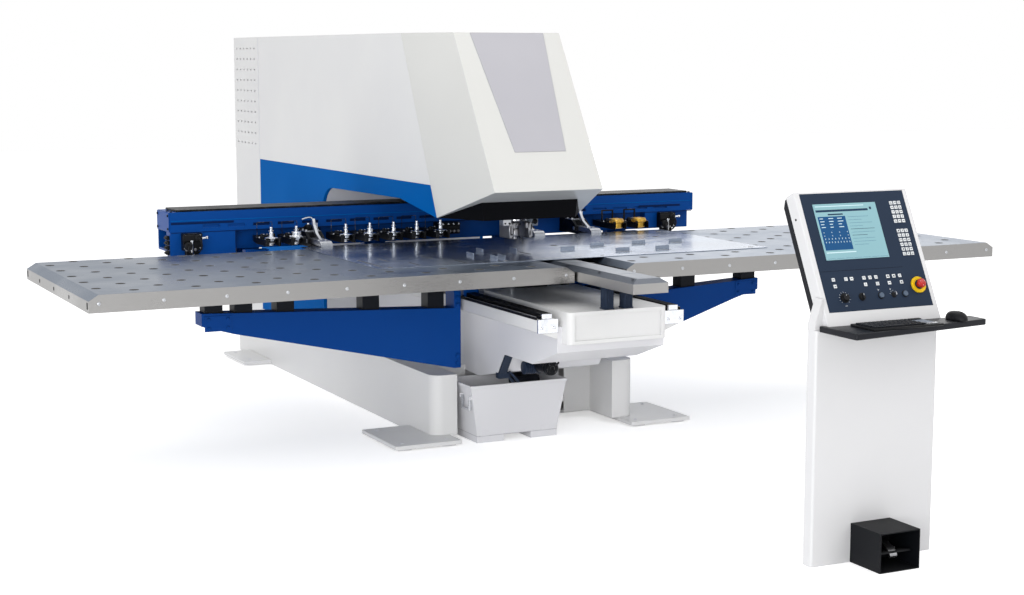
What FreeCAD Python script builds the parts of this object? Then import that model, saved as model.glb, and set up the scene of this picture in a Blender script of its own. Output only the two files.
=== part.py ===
# A CNC turret punch press: a C-frame machine with a punching head, a table whose two halves travel
# with the sheet, a cross rail that carries clamps and tools, a scrap bin and an operator's console.
# X runs along the table, Y runs from the operator's side to the rear, Z is up. Sizes are in mm.
import FreeCAD, Part
import Sketcher
import math
import os

doc = FreeCAD.newDocument("punch_press")
sheet = doc.addObject("Spreadsheet::Sheet", "Sizes")

# Positions are measured from the vertical plane through the punch (X) and from a line across the
# machine a little behind the punch (Y). Every sub-part is then moved so that the origin lies on the
# floor under the middle of the whole machine.
driving = {
    # the C-frame and its covers
    "frame_half_width": 297, "frame_top": 1950, "frame_back": 2250, "arm_underside": 1240,
    "arm_nose": -300, "arm_nose_height": 1560, "arm_top_front": -60, "lower_arm_top": 690,
    "lower_arm_front": -1200, "heel": -90, "heel_height": 319, "belly": -544,
    "belly_height": 362, "step": -627, "step_height": 470, "chin": -938,
    "tip_height": 562, "throat_back": 1380, "throat_top": 1205, "throat_round": 138,
    "cover_height": 2101, "cover_half_width": 600, "cover_back": 2866, "cover_seam": 2356,
    "cover_front_half_width": 430, "cover_wall": 4, "cover_gap": 0.8, "blue_top": 1322,
    "blue_top_front": 1298, "wedge_kink": 284, "wedge_kink_height": 1193,
    "panel_thickness": 20, "base_height": 345, "base_front": -400, "base_round": 60,
    "alcove_half_width": 460, "alcove_back": -150, "vent_pitch": 72, "vent_rise": 68,
    "vent_first": 2422, "vent_low": 1413, "vent_length": 26, "vent_height": 10,
    "foot_reach": 866, "foot_inner": 500, "foot_front": -545, "foot_back": -80,
    "rear_foot_reach": 778, "rear_foot_front": 2200, "rear_foot_back": 2650,
    "foot_bottom": 10, "foot_thickness": 20, "pad_half": 38, "pad_margin": 22,
    "rear_pad_shift": 30, "rear_pad_pitch": 290, "bolt_width": 24, "bolt_height": 30,
    "tongue_inset": 60, "tongue_front": 20, "tongue_back": 220, "rear_tongue_lap": 180,
    "belly_dip": 8, "wedge_run": 66, "vent_columns": 6, "vent_rows": 10,
    # the punching head
    "head_half_width": 313, "head_top_front": -49, "head_nose_front": -547,
    "head_nose_height": 1289, "seam_top": 323, "seam_bottom": -81, "seam_low_height": 1129,
    "head_wall": 8, "mouth_drop": 40, "mouth_rise": 5, "mouth_margin": 16.8,
    "inlay_top_left": -220, "inlay_top_right": 214, "inlay_left": -141, "inlay_right": 156,
    "inlay_height": 1484, "inlay_thickness": 3, "punch_line": -140, "box_half_width": 250,
    "box_front": -292, "box_depth": 325, "box_bottom": 1130, "box_height": 110,
    "box_chamfer": 20, "ram_radius": 42, "ram_bottom": 1105, "ram_length": 133,
    "ram_clearance": 0.05, "punch_radius": 24, "punch_bottom": 1003, "punch_tip_height": 18,
    "punch_barrel_height": 38, "punch_collar_radius": 34, "die_radius": 55,
    "die_clearance": 0.05, "die_top": 945, "die_height": 40, "die_lift": 0.3, "slug_radius": 9.8,
    "holder_bore": 14, "holder_radius": 80, "holder_top": 937,
    # the lower arm's nose, its guides and the fixed middle table
    "nose_half_width": 272, "nose_front": -1272, "nose_bottom": 609, "nose_top": 766,
    "nose_back": -330, "nose_round": 28, "nose_recess": 8, "nose_rim": 34,
    "nose_rim_height": 18, "guide_width": 108, "guide_bottom": 672, "guide_top": 728,
    "guide_flare": 40, "guide_back": 1330, "guide_cap": 8, "guide_cap_low": 6,
    "guide_cap_high": 4, "rail_width": 50, "rail_height": 30, "rail_setback": 20,
    "rail_neck": 7, "rail_foot_height": 12, "rail_head_foot": 18, "middle_left": -87,
    "middle_right": 103, "middle_front": -1556, "middle_back": -250, "middle_top": 946,
    "middle_height": 70, "middle_chamfer": 22, "middle_side_chamfer": 35.2,
    "post_radius": 20, "post_line": -1235, "post_left": -45, "post_right": 60,
    "post_block_start": 90, "post_block_depth": 60,
    # the travelling table
    "table_left": -2481, "table_right": 2553, "table_gap_left": -96, "table_gap_right": 200,
    "table_front": -999, "table_depth": 1350, "table_top": 949, "apron_height": 80,
    "table_wall": 6, "end_chamfer_width": 46, "end_chamfer_height": 28, "end_relief": 4,
    # the Y carriage under it
    "arm_left_end": 1799, "arm_right_end": 1414, "arm_front": -370, "arm_depth": 110,
    "arm_wall": 8, "arm_end_bottom": 633, "arm_end_top": 742, "arm_root_top": 687,
    "arm_root_bottom": 373, "root_margin": 20, "arm_flange": 36, "flange_rise": 90,
    "arm_tip_run": 160, "arm_tip_height": 46, "support_width": 90, "support_inset": 12,
    "bridge_front": 640, "bridge_depth": 260, "bridge_bottom": 790, "bridge_top": 862,
    "bridge_half_length": 1760, "bridge_wall": 8, "girder_width": 120, "girder_top": 850,
    "shoe_clearance": 0.3, "shoe_length": 150, "shoe_width": 86, "shoe_crown": 26,
    "shoe_skirt": 6, "shoe_front_inset": 30, "shoe_back_inset": 40, "x_rail_width": 28,
    "x_rail_height": 24, "x_rail_spacing": 170, "x_rail_inset": 20,
    # the X carriage: cross rail, tool stations, clamps and sheet
    "rail_half_length": 1651, "rail_front": 707, "rail_depth": 243, "rail_top": 1142,
    "rail_face_height": 108, "rail_bottom": 925, "rail_face_depth": 60, "rail_lip": 12,
    "slot_pitch": 142, "slot_length": 96, "slot_height": 16, "slot_depth": 8,
    "slot_line": 1062, "slot_count": 21, "strip_depth": 95, "strip_height": 8,
    "strip_setback": 20, "strip_inset": 30, "left_plate_length": 364, "left_plate_low": 900,
    "right_plate_start": 338, "right_plate_length": 190, "right_plate_low": 932,
    "plate_depth": 60, "valve_width": 105, "valve_depth": 46, "valve_height": 90,
    "valve_low": 938, "valve_foot": 34, "valve_foot_inset": 18, "left_valve": 60,
    "right_valve": 255, "centre_valve_left": -78, "centre_valve_low": 962,
    "centre_valve_width": 116, "centre_valve_depth": 120, "centre_valve_height": 66,
    "x_shoe_length": 130, "x_shoe_width": 60, "x_shoe_skirt": 5, "station_line": 500,
    "cassette_width": 84, "cassette_depth": 128, "cassette_low": 962, "cassette_height": 34,
    "cassette_cheek": 40, "cassette_tip": 52, "cassette_tail": 36, "stem_radius": 8,
    "stem_top": 1062, "shank_radius": 28, "shank_gap": 0.5, "collar_radius": 37,
    "collar_height": 12, "gold_radius": 36, "gold_gap": 1, "gold_ring_radius": 44,
    "gold_height": 26, "guard_wire": 4, "guard_height": 96, "guard_inset": 2,
    "guard_setback": 12,
    # the clamps and the sheet that they hold
    "clamp_width": 96, "clamp_front": 395, "clamp_cheek": 14, "cheek_gap": 0.08,
    "clamp_height": 62, "lower_jaw_height": 12, "jaw_length": 190, "jaw_height": 26,
    "jaw_nose_height": 12, "jaw_slope_run": 24, "jaw_knee": 40, "jaw_knee_height": 30,
    "jaw_gap": 0.2, "pivot_rise": 16, "pivot_radius": 7, "heel_reach": 15, "heel_half": 13,
    "seat_start": 60, "seat_end": 24, "seat_lift": 2, "seat_rise": 30, "body_slope_end": 26,
    "body_slot_end": 20, "pin_clearance": 0.05, "sheet_lift": 0.5, "sheet_left": -1010,
    "sheet_right": 1255, "sheet_front": -690, "sheet_back": 430, "sheet_thickness": 3,
    "tab_height": 22, "tab_length": 84,
    # the scrap bin and chute
    "bin_left": -442, "bin_right": 112, "bin_front": -530, "bin_depth": 300, "bin_height": 300,
    "bin_draft": 34, "bin_right_draft": 57.8, "bin_wall": 4, "bin_plinth": 34,
    "bin_notch_left": -253, "bin_notch_right": -100, "handle_width": 108, "handle_drop": 62,
    "handle_radius": 5, "handle_height": 238, "handle_pin_inset": 12, "ear_thickness": 8,
    "ear_reach": 17, "ear_lap": 3, "chute_left": -165, "chute_width": 180, "chute_top": 306,
    "chute_lip": -400, "lip_run": 20, "lip_drop": 44, "chute_fall": 40,
    "cylinder_radius": 37.2, "cylinder_length": 138, "cylinder_drop": 62, "cylinder_gap": 12,
    "bracket_inset": 36, "bracket_width": 48, "bracket_reach": 110.4, "bracket_depth": 69,
    # the console
    "pillar_left": -193, "pillar_right": 395, "pillar_front": -3120, "pillar_depth": 60,
    "pillar_height": 930, "pillar_round": 10, "panel_left": -133, "panel_right": 369,
    "panel_rise": 67, "panel_foot_line": -3120, "panel_length": 490, "panel_lean": 26.1,
    "desk_margin": 22, "desk_thickness": 92, "desk_chamfer_height": 24,
    "desk_chamfer_length": 40, "plate_thickness": 4, "plate_gap": 0.5, "panel_lift": 0.2,
    "screen_left": 49, "screen_low": 211, "screen_width": 302, "screen_height": 233,
    "screen_thickness": 2, "shelf_left": -180, "shelf_right": 525, "shelf_front": -3353,
    "shelf_skew": 95, "shelf_rise": 20, "shelf_thickness": 24, "shelf_round": 12,
    "shelf_bracket_inset": 60, "shelf_bracket_drop": 80, "shelf_bracket_edge": 8,
    "shelf_bracket_tip": 60, "keyboard_left": -75, "keyboard_width": 330,
    "keyboard_depth": 150, "keyboard_height": 16, "board_height": 9.6, "keyboard_inset": 20,
    "key_row_inset": 8, "key_row_front": 12, "key_row_pitch": 26, "key_row_depth": 22,
    "mouse_line": 395, "mouse_length": 112, "mouse_width": 62, "mouse_height": 36,
    "mouse_chamfer": 16, "pedal_left": -6, "pedal_width": 190, "pedal_front": -3308,
    "pedal_depth": 188, "pedal_height": 157, "pedal_wall": 4, "pedal_pin_radius": 6,
    "pedal_pin_inset": 34, "pedal_pin_height": 26, "treadle_gap": 12, "treadle_hub": 20,
    "treadle_knee": 30, "treadle_length": 118, "treadle_low": 12, "treadle_rise": 44,
    "stop_ring_radius": 31, "stop_ring_height": 6, "stop_radius": 19, "stop_height": 34,
    "stop_well_radius": 11.78, "stop_travel": 5, "dial_radius": 17, "dial_skirt": 6,
    "dial_grip_radius": 11.05, "dial_height": 16, "knob_radius": 13, "knob_skirt": 7,
    "knob_ridge": 7, "knob_height": 15, "key_radius": 9, "lock_height": 4, "blade_width": 2.4,
    "key_blade_height": 19, "button_radius": 11, "button_height": 9, "button_travel": 3,
    "button_stem": 5.5, "control_gap": 0.4, "control_foot": 0.3, "control_line": 55,
    "stop_along": 453, "stop_up": 87, "dial_along": 88, "knob_along": 171,
    "start_along": 262, "key_along": 325, "halt_along": 379, "key_size": 14,
    "key_height": 2.5, "key_pitch": 19.5, "pad_left": 422, "upper_pad": 352,
    "lower_pad": 213, "upper_row": 124, "lower_row": 97,
}


class Value:
    # A size that keeps its number together with the sheet formula that gives it.
    def __init__(self, number, text):
        self.number = float(number)
        self.text = text

    def __add__(self, other):
        other = value(other)
        return Value(self.number + other.number, "(%s + %s)" % (self.text, other.text))

    def __sub__(self, other):
        other = value(other)
        return Value(self.number - other.number, "(%s - %s)" % (self.text, other.text))

    def __mul__(self, other):
        other = value(other)
        return Value(self.number * other.number, "(%s * %s)" % (self.text, other.text))

    def __truediv__(self, other):
        other = value(other)
        return Value(self.number / other.number, "(%s / %s)" % (self.text, other.text))

    def __neg__(self):
        return Value(-self.number, "(0 - %s)" % self.text)

    def __radd__(self, other):
        return value(other) + self

    def __rsub__(self, other):
        return value(other) - self

    def __rmul__(self, other):
        return value(other) * self


def value(size):
    if isinstance(size, Value):
        return size
    return Value(size, "(%.6f)" % size)


def angle_of(rise, run):
    text = "(atan2(%s; %s) / 1 deg)" % (value(rise).text, value(run).text)
    return Value(math.degrees(math.atan2(value(rise).number, value(run).number)), text)


def length_of(rise, run):
    text = "sqrt(pow(%s; 2) + pow(%s; 2))" % (value(rise).text, value(run).text)
    return Value(math.hypot(value(rise).number, value(run).number), text)


class Sheet:
    # Writes the driving sizes into the sheet and hands each one back by its name.
    def __init__(self, numbers):
        for row, (alias, number) in enumerate(numbers.items(), start=1):
            sheet.set("A%d" % row, alias)
            sheet.set("B%d" % row, str(number))
            sheet.setAlias("B%d" % row, alias)
        self.numbers = numbers

    def __getattr__(self, alias):
        return Value(self.numbers[alias], "Sizes." + alias)


s = Sheet(driving)
doc.recompute()
nodes = []
datum_x = -(s.table_left + s.table_right) / 2
datum_y = -(s.shelf_front + s.cover_back) / 2
arm_root = s.frame_half_width + s.guide_width + s.root_margin
panel_low = s.pillar_height + s.panel_rise
shelf_top = s.pillar_height + s.shelf_rise


def bind(thing, path, size):
    thing.setExpression(path, value(size).text)


def finish(node, label, x=0, y=0, z=0, turn=None, axis=(1, 0, 0)):
    # Names a finished sub-part and puts it in its place in the whole machine.
    node.Label = label
    if turn is not None:
        node.Placement = FreeCAD.Placement(FreeCAD.Vector(0, 0, 0), FreeCAD.Vector(*axis), 1)
        bind(node, "Placement.Rotation.Angle", turn)
    bind(node, "Placement.Base.x", datum_x + x)
    bind(node, "Placement.Base.y", datum_y + y)
    bind(node, "Placement.Base.z", value(z))
    nodes.append(node)
    return node


def body(name):
    return doc.addObject("PartDesign::Body", name)


def sketch(owner, plane, start, outlines, tilt=None):
    # Closed outlines on one of the body's own planes, every point held by the sheet.
    made = owner.newObject("Sketcher::SketchObject", owner.Name + "_outline")
    base = [part for part in owner.Origin.OriginFeatures if part.Role == plane + "_Plane"][0]
    made.AttachmentSupport = [(base, "")]
    made.MapMode = "FlatFace"
    if tilt is not None:
        turned = FreeCAD.Rotation(FreeCAD.Vector(1, 0, 0), value(tilt[0]).number)
        made.AttachmentOffset = FreeCAD.Placement(FreeCAD.Vector(0, 0, 0), turned)
        bind(made, "AttachmentOffset.Rotation.Angle", tilt[0])
        bind(made, "AttachmentOffset.Base.y", tilt[1])
    away = -value(start) if plane == "XZ" else start
    bind(made, "AttachmentOffset.Base.z", away)
    for outline in outlines:
        if outline[0] == "circle":
            add_circle(made, *outline[1:])
        else:
            add_polygon(made, outline)
    return made


def add_polygon(made, points):
    first = made.GeometryCount
    corners = [FreeCAD.Vector(value(u).number, value(v).number, 0) for u, v in points]
    for start, end in zip(corners, corners[1:] + corners[:1]):
        made.addGeometry(Part.LineSegment(start, end), False)
    count = len(points)
    for index, (u, v) in enumerate(points):
        line = first + index
        previous = first + (index - 1) % count
        made.addConstraint(Sketcher.Constraint("Coincident", previous, 2, line, 1))
        hold_point(made, line, 1, u, v)


def add_circle(made, u, v, radius):
    centre = FreeCAD.Vector(value(u).number, value(v).number, 0)
    circle = Part.Circle(centre, FreeCAD.Vector(0, 0, 1), value(radius).number)
    index = made.addGeometry(circle, False)
    hold_point(made, index, 3, u, v)
    size = made.addConstraint(Sketcher.Constraint("Radius", index, value(radius).number))
    bind(made, "Constraints[%d]" % size, radius)


def hold_point(made, geometry, point, u, v):
    for kind, size in (("DistanceX", u), ("DistanceY", v)):
        number = value(size).number
        held = made.addConstraint(Sketcher.Constraint(kind, -1, 1, geometry, point, number))
        bind(made, "Constraints[%d]" % held, size)


def pad(owner, plane, start, length, *outlines):
    # Adds material over a stretch of the axis across the plane, from start upwards.
    feature = owner.newObject("PartDesign::Pad", owner.Name + "_pad")
    feature.Profile = sketch(owner, plane, start, outlines)
    feature.Reversed = plane == "XZ"
    bind(feature, "Length", length)
    return feature


def pocket(owner, plane, start, length, *outlines):
    # Takes material away over the same stretch that a pad would fill.
    feature = owner.newObject("PartDesign::Pocket", owner.Name + "_pocket")
    feature.Profile = sketch(owner, plane, start, outlines)
    feature.Reversed = plane != "XZ"
    bind(feature, "Length", length)
    return feature


def prism(name, plane, start, length, *outlines):
    owner = body(name)
    pad(owner, plane, start, length, *outlines)
    return owner


def round_edges(owner, radius, wanted, kind="PartDesign::Fillet", size_name="Radius"):
    # Rounds or chamfers the edges of the body's last feature that the test picks.
    doc.recompute()
    tip = owner.Tip
    names = ["Edge%d" % (i + 1) for i, edge in enumerate(tip.Shape.Edges) if wanted(edge)]
    feature = owner.newObject(kind, owner.Name + "_edges")
    feature.Base = (tip, names)
    bind(feature, size_name, radius)
    return feature


def chamfer_edges(owner, size, wanted):
    return round_edges(owner, size, wanted, "PartDesign::Chamfer", "Size")


def runs_along(edge, axis):
    ends = [vertex.Point for vertex in edge.Vertexes]
    if len(ends) < 2:
        return False
    step = ends[1] - ends[0]
    across = [abs(step[i]) for i in range(3) if i != axis]
    return abs(step[axis]) > 1e-6 and max(across) < 1e-6


def middle(edge):
    return edge.BoundBox.Center


def box(x, y, z, dx, dy, dz):
    made = doc.addObject("Part::Box", "block")
    for path, size in (("Length", dx), ("Width", dy), ("Height", dz)):
        bind(made, path, size)
    for axis, size in (("x", x), ("y", y), ("z", z)):
        bind(made, "Placement.Base." + axis, size)
    return made


directions = {"x": ((0, 1, 0), 90), "y": ((1, 0, 0), -90), "z": ((0, 0, 1), 0)}


def rod(along, x, y, z, radius, length):
    made = doc.addObject("Part::Cylinder", "rod")
    axis, angle = directions[along]
    turn = FreeCAD.Rotation(FreeCAD.Vector(*axis), angle)
    made.Placement = FreeCAD.Placement(FreeCAD.Vector(0, 0, 0), turn)
    bind(made, "Radius", radius)
    bind(made, "Height", length)
    for axis_name, size in (("x", x), ("y", y), ("z", z)):
        bind(made, "Placement.Base." + axis_name, size)
    return made


def stepped(*steps):
    # Round steps about the Z axis, each as its radius, its foot and its top.
    rods = [rod("z", 0, 0, low, radius, value(high) - low) for radius, low, high in steps]
    return fused(rods)


def fused(members):
    made = doc.addObject("Part::MultiFuse", "joined")
    made.Shapes = members
    return made


def without(base, tool):
    made = doc.addObject("Part::Cut", "cut")
    made.Base = base
    made.Tool = tool
    return made


def grouped(members):
    made = doc.addObject("Part::Compound", "group")
    made.Links = members
    return made


def common(first, second):
    made = doc.addObject("Part::Common", "shared")
    made.Base = first
    made.Tool = second
    return made


def moved(thing, x=0, y=0, z=0):
    for axis, size in (("x", x), ("y", y), ("z", z)):
        bind(thing, "Placement.Base." + axis, size)
    return thing


# ---------------------------------------------------------------- shared shapes of the covers
def seam_line(z):
    # Where the head cover meets the side panels, at the height z.
    rise = s.cover_height - s.seam_low_height
    return s.seam_bottom + (z - s.seam_low_height) * (s.seam_top - s.seam_bottom) / rise


def cover_side(y, inset=0):
    # Half the width over the side panels at y: they draw in towards the head.
    taper = (s.cover_half_width - s.cover_front_half_width) / (s.cover_seam - s.seam_bottom)
    return s.cover_half_width - taper * (s.cover_seam - y) - inset


def plan_strip(name, side):
    front = s.seam_bottom
    back = s.cover_seam - s.cover_gap
    inner = s.panel_thickness
    corners = [
        (cover_side(back) * side, back),
        (cover_side(back, inner) * side, back),
        (cover_side(front, inner) * side, front),
        (cover_side(front) * side, front),
    ]
    return prism(name, "XY", s.base_height, s.cover_height - s.base_height, corners)


def plan_fill(name, front, back, low, high):
    inset = s.panel_thickness + s.cover_gap
    corners = [
        (-cover_side(front, inset), front),
        (cover_side(front, inset), front),
        (cover_side(back, inset), back),
        (-cover_side(back, inset), back),
    ]
    return prism(name, "XY", low, high - low, corners)


def side_profile(name, outline):
    reach = s.cover_half_width + s.panel_thickness
    return prism(name, "YZ", -reach, reach * 2, outline)


# ---------------------------------------------------------------- the fixed frame
def c_frame():
    half = s.frame_half_width
    back_wall = s.throat_back + s.panel_thickness
    frame = prism("c_frame_weldment", "YZ", -half, half * 2, [
        (s.heel, s.foot_bottom + s.foot_thickness),
        (s.heel, s.heel_height),
        (s.belly + (s.heel - s.belly) / 2, s.heel_height - s.belly_dip),
        (s.belly, s.belly_height),
        (s.step, s.step_height),
        (s.chin, s.step_height),
        (s.lower_arm_front, s.tip_height),
        (s.lower_arm_front, s.lower_arm_top),
        (back_wall, s.lower_arm_top),
        (back_wall, s.arm_underside),
        (s.arm_nose, s.arm_underside),
        (s.arm_nose, s.arm_nose_height),
        (s.arm_top_front, s.frame_top),
        (s.frame_back, s.frame_top),
        (s.frame_back, s.foot_bottom + s.foot_thickness),
    ])
    corner = back_wall.number
    round_edges(frame, s.throat_round / 2, lambda edge: runs_along(edge, 0)
                and abs(middle(edge).y - corner) < 1 and middle(edge).z > s.lower_arm_top.number + 1)
    finish(frame, "c_frame")


def base_cover():
    wide = s.cover_half_width
    front = s.base_front
    alcove = s.alcove_half_width
    wall = s.cover_wall
    low = s.foot_bottom + s.foot_thickness + s.cover_gap
    cover = prism("base_skirt", "XY", 0, s.base_height, [
        (-wide, front), (-alcove, front), (-alcove, s.alcove_back), (alcove, s.alcove_back),
        (alcove, front), (wide, front), (wide, s.cover_back), (-wide, s.cover_back),
    ])
    corner = (wide.number, front.number)
    round_edges(cover, s.base_round, lambda edge: runs_along(edge, 2)
                and abs(abs(middle(edge).x) - corner[0]) < 1 and abs(middle(edge).y - corner[1]) < 1)
    inner = wide - wall
    pocket(cover, "XY", -wall, s.base_height, [
        (-inner, front + wall + s.base_round), (-inner + s.base_round, front + wall),
        (-alcove - wall, front + wall), (-alcove - wall, s.alcove_back + wall),
        (alcove + wall, s.alcove_back + wall), (alcove + wall, front + wall),
        (inner - s.base_round, front + wall), (inner, front + wall + s.base_round),
        (inner, s.cover_back - wall), (-inner, s.cover_back - wall),
    ])
    reach = s.frame_half_width + s.cover_gap
    pocket(cover, "XY", -wall, s.base_height + wall * 2, [
        (-reach, s.alcove_back - wall), (reach, s.alcove_back - wall),
        (reach, s.frame_back + s.cover_gap), (-reach, s.frame_back + s.cover_gap),
    ])
    pocket(cover, "YZ", -wide - wall, (wide + wall) * 2, [
        (s.rear_foot_front - s.cover_gap, -wall), (s.rear_foot_back + s.cover_gap, -wall),
        (s.rear_foot_back + s.cover_gap, low), (s.rear_foot_front - s.cover_gap, low),
    ], [
        (front - wall, -wall), (s.foot_back + s.cover_gap, -wall),
        (s.foot_back + s.cover_gap, low), (front - wall, low),
    ])
    finish(cover, "base_cover")


def foot_plates():
    plates = []
    for side in (-1, 1):
        hidden = s.cover_half_width - s.cover_wall - s.cover_gap
        under = s.frame_half_width - s.tongue_inset
        plates.append(prism("front_foot", "XY", s.foot_bottom, s.foot_thickness, [
            (s.foot_reach * side, s.foot_front), (s.foot_inner * side, s.foot_front),
            (s.foot_inner * side, s.heel + s.tongue_front), (under * side, s.heel + s.tongue_front),
            (under * side, s.heel + s.tongue_back), (hidden * side, s.heel + s.tongue_back),
            (hidden * side, s.foot_back), (s.foot_reach * side, s.foot_back),
        ]))
        plates.append(prism("rear_foot", "XY", s.foot_bottom, s.foot_thickness, [
            (s.rear_foot_reach * side, s.rear_foot_front), (hidden * side, s.rear_foot_front),
            (under * side, s.rear_foot_front - s.rear_tongue_lap), (under * side, s.frame_back),
            (hidden * side, s.rear_foot_back), (s.rear_foot_reach * side, s.rear_foot_back),
        ]))
    finish(grouped(plates + leveling_feet()), "foot_plates")


def hexagon(x, y, across):
    # The plan corners of a hexagon that is across wide from corner to corner.
    far = value(across) / 2
    near = far / 2
    up = far * math.sqrt(3) / 2
    return [(x + far, y), (x + near, y + up), (x - near, y + up), (x - far, y),
            (x - near, y - up), (x + near, y - up)]


def leveling_feet():
    feet = []
    half = s.pad_half
    inset = half + s.pad_margin
    front = s.foot_front + inset
    rear = s.rear_foot_front + inset + s.rear_pad_shift
    top = s.foot_bottom + s.foot_thickness
    for side in (-1, 1):
        for x, y in ((s.foot_reach - inset, front), (s.foot_inner + inset, front),
                     (s.foot_reach - inset, s.foot_back - inset),
                     (s.rear_foot_reach - inset, rear),
                     (s.rear_foot_reach - inset, rear + s.rear_pad_pitch)):
            feet.append(box(x * side - half, y - half, 0, half * 2, half * 2, s.foot_bottom))
            feet.append(prism("foot_bolt", "XY", top, s.bolt_height,
                              hexagon(x * side, y, s.bolt_width)))
    return feet


def cabinet_cover():
    wide = s.cover_half_width
    wall = s.cover_wall
    front = s.cover_seam
    cover = prism("cabinet_shell", "XY", s.base_height, s.cover_height - s.base_height, [
        (-wide, front), (wide, front), (wide, s.cover_back), (-wide, s.cover_back),
    ])
    round_edges(cover, s.cover_wall * 2, lambda edge: runs_along(edge, 2)
                and middle(edge).y > s.cover_back.number - 1)
    inner = wide - wall * 2
    pocket(cover, "XY", s.base_height - wall, s.cover_height - s.base_height - wall, [
        (-inner, front + wall), (inner, front + wall),
        (inner, s.cover_back - wall * 2), (-inner, s.cover_back - wall * 2),
    ])
    slots = []
    for column in range(int(s.vent_columns.number)):
        for row in range(int(s.vent_rows.number)):
            slots.append(box(-wide - wall, s.vent_first + s.vent_pitch * column,
                             s.vent_low + s.vent_rise * row, wall * 4,
                             s.vent_length, s.vent_height))
    finish(without(cover, grouped(slots)), "rear_cabinet")


def side_panels():
    back = s.cover_seam
    rise = (s.blue_top - s.blue_top_front) / (s.cover_seam - seam_line(s.blue_top_front))
    for side, hand in ((-1, "left"), (1, "right")):
        low = s.blue_top_front + s.cover_gap
        edge = seam_line(s.blue_top_front)
        white = side_profile("white_profile", [
            (edge, low), (seam_line(s.cover_height), s.cover_height),
            (back, s.cover_height), (back, low + rise * (back - edge)),
        ])
        panel = common(plan_strip("white_plan", side), white)
        finish(panel, "side_panel_" + hand)
        blue = side_profile("blue_profile", [
            (s.seam_bottom, s.seam_low_height), (edge, s.blue_top_front),
            (back, s.blue_top), (back, s.base_height), (s.throat_back, s.base_height),
            (s.throat_back, s.throat_top), (s.wedge_kink + s.wedge_run, s.throat_top),
            (s.wedge_kink, s.wedge_kink_height),
        ])
        corner = s.throat_back.number
        round_edges(blue, s.throat_round, lambda picked: runs_along(picked, 0)
                    and abs(middle(picked).y - corner) < 1
                    and abs(middle(picked).z - s.throat_top.number) < 1)
        panel = common(plan_strip("blue_plan", side), blue)
        finish(panel, "blue_panel_" + hand)


def inner_covers():
    high = s.cover_height
    top = plan_fill("top_plate", s.seam_top, s.cover_seam - s.cover_gap,
                    high - s.panel_thickness, high)
    finish(top, "top_cover")
    wall = s.cover_wall
    liner = side_profile("liner_profile", [
        (s.wedge_kink + s.wedge_run, s.throat_top), (s.wedge_kink + s.wedge_run, s.throat_top + wall),
        (s.throat_back + wall, s.throat_top + wall), (s.throat_back + wall, s.base_height),
        (s.throat_back, s.base_height), (s.throat_back, s.throat_top),
    ])
    corner = s.throat_back.number
    round_edges(liner, s.throat_round, lambda edge: runs_along(edge, 0)
                and abs(middle(edge).y - corner) < 1
                and abs(middle(edge).z - s.throat_top.number) < 1)
    space = plan_fill("liner_plan", s.seam_bottom, s.cover_seam, s.base_height,
                      s.cover_height)
    reach = s.frame_half_width + s.cover_gap
    arm = box(-reach, s.throat_back - 1, s.base_height - 1, reach * 2, wall + 2,
              s.lower_arm_top - s.base_height + 1 + s.cover_gap)
    finish(without(common(space, liner), arm), "throat_liner")


def head_cover():
    rise = s.cover_height - s.head_nose_height
    run = s.head_top_front - s.head_nose_front
    front_tilt = angle_of(rise, run)
    front_length = length_of(rise, run)
    seam_rise = s.cover_height - s.seam_low_height
    seam_run = s.seam_top - s.seam_bottom
    seam_tilt = angle_of(seam_rise, seam_run)
    seam_length = length_of(seam_rise, seam_run)
    cover = body("head_shell")
    half = s.head_half_width
    front = sketch(cover, "XY", s.head_nose_height, [[
        (-half, 0), (half, 0), (half, front_length), (-half, front_length),
    ]], (front_tilt, s.head_nose_front))
    low = cover_side(s.seam_bottom)
    high = cover_side(s.seam_top)
    seam = sketch(cover, "XY", s.seam_low_height, [[
        (-low, 0), (low, 0), (high, seam_length), (-high, seam_length),
    ]], (seam_tilt, s.seam_bottom - s.cover_gap))
    loft = cover.newObject("PartDesign::AdditiveLoft", "head_loft")
    loft.Profile = (front, [""])
    loft.Sections = [(seam, [""])]
    loft.Ruled = True
    wall = s.head_wall
    lean = wall * front_length / rise
    # The room inside keeps about a wall's thickness from every face of the shell.
    room = common(prism("head_room_side", "YZ", -s.cover_half_width, s.cover_half_width * 2, [
        (s.head_nose_front + lean * 1.3, s.head_nose_height + wall * 0.6),
        (s.seam_bottom, s.seam_low_height + wall), (s.seam_bottom + wall, s.seam_low_height),
        (s.seam_top + wall, s.cover_height - wall), (s.head_top_front + lean * 0.7, s.cover_height - wall),
    ]), prism("head_room_plan", "XY", s.seam_low_height - wall, s.cover_height - s.seam_low_height, [
        (-half + wall * 1.5, s.head_nose_front), (half - wall * 1.5, s.head_nose_front),
        (low - wall, s.seam_bottom), (low - wall, s.seam_top + wall * 2),
        (-low + wall, s.seam_top + wall * 2), (-low + wall, s.seam_bottom),
    ]))
    reach = s.box_half_width + s.cover_gap
    mouth = box(-reach, s.box_front - s.cover_gap, s.seam_low_height - s.mouth_drop, reach * 2,
                s.box_depth + s.mouth_margin,
                s.arm_underside - s.seam_low_height + s.mouth_drop + s.mouth_rise)
    finish(without(without(cover, room), mouth), "head_cover")
    slope = run / rise
    drop = (s.cover_height - s.inlay_thickness - s.inlay_height) * front_length / rise
    plate = body("inlay_plate")
    feature = plate.newObject("PartDesign::Pad", "inlay_pad")
    base_y = s.head_nose_front + (s.inlay_height - s.head_nose_height) * slope
    feature.Profile = sketch(plate, "XY", s.inlay_height, [[
        (s.inlay_left, 0), (s.inlay_right, 0), (s.inlay_top_right, drop), (s.inlay_top_left, drop),
    ]], (front_tilt, base_y))
    bind(feature, "Length", s.inlay_thickness)
    finish(plate, "head_inlay")


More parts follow.
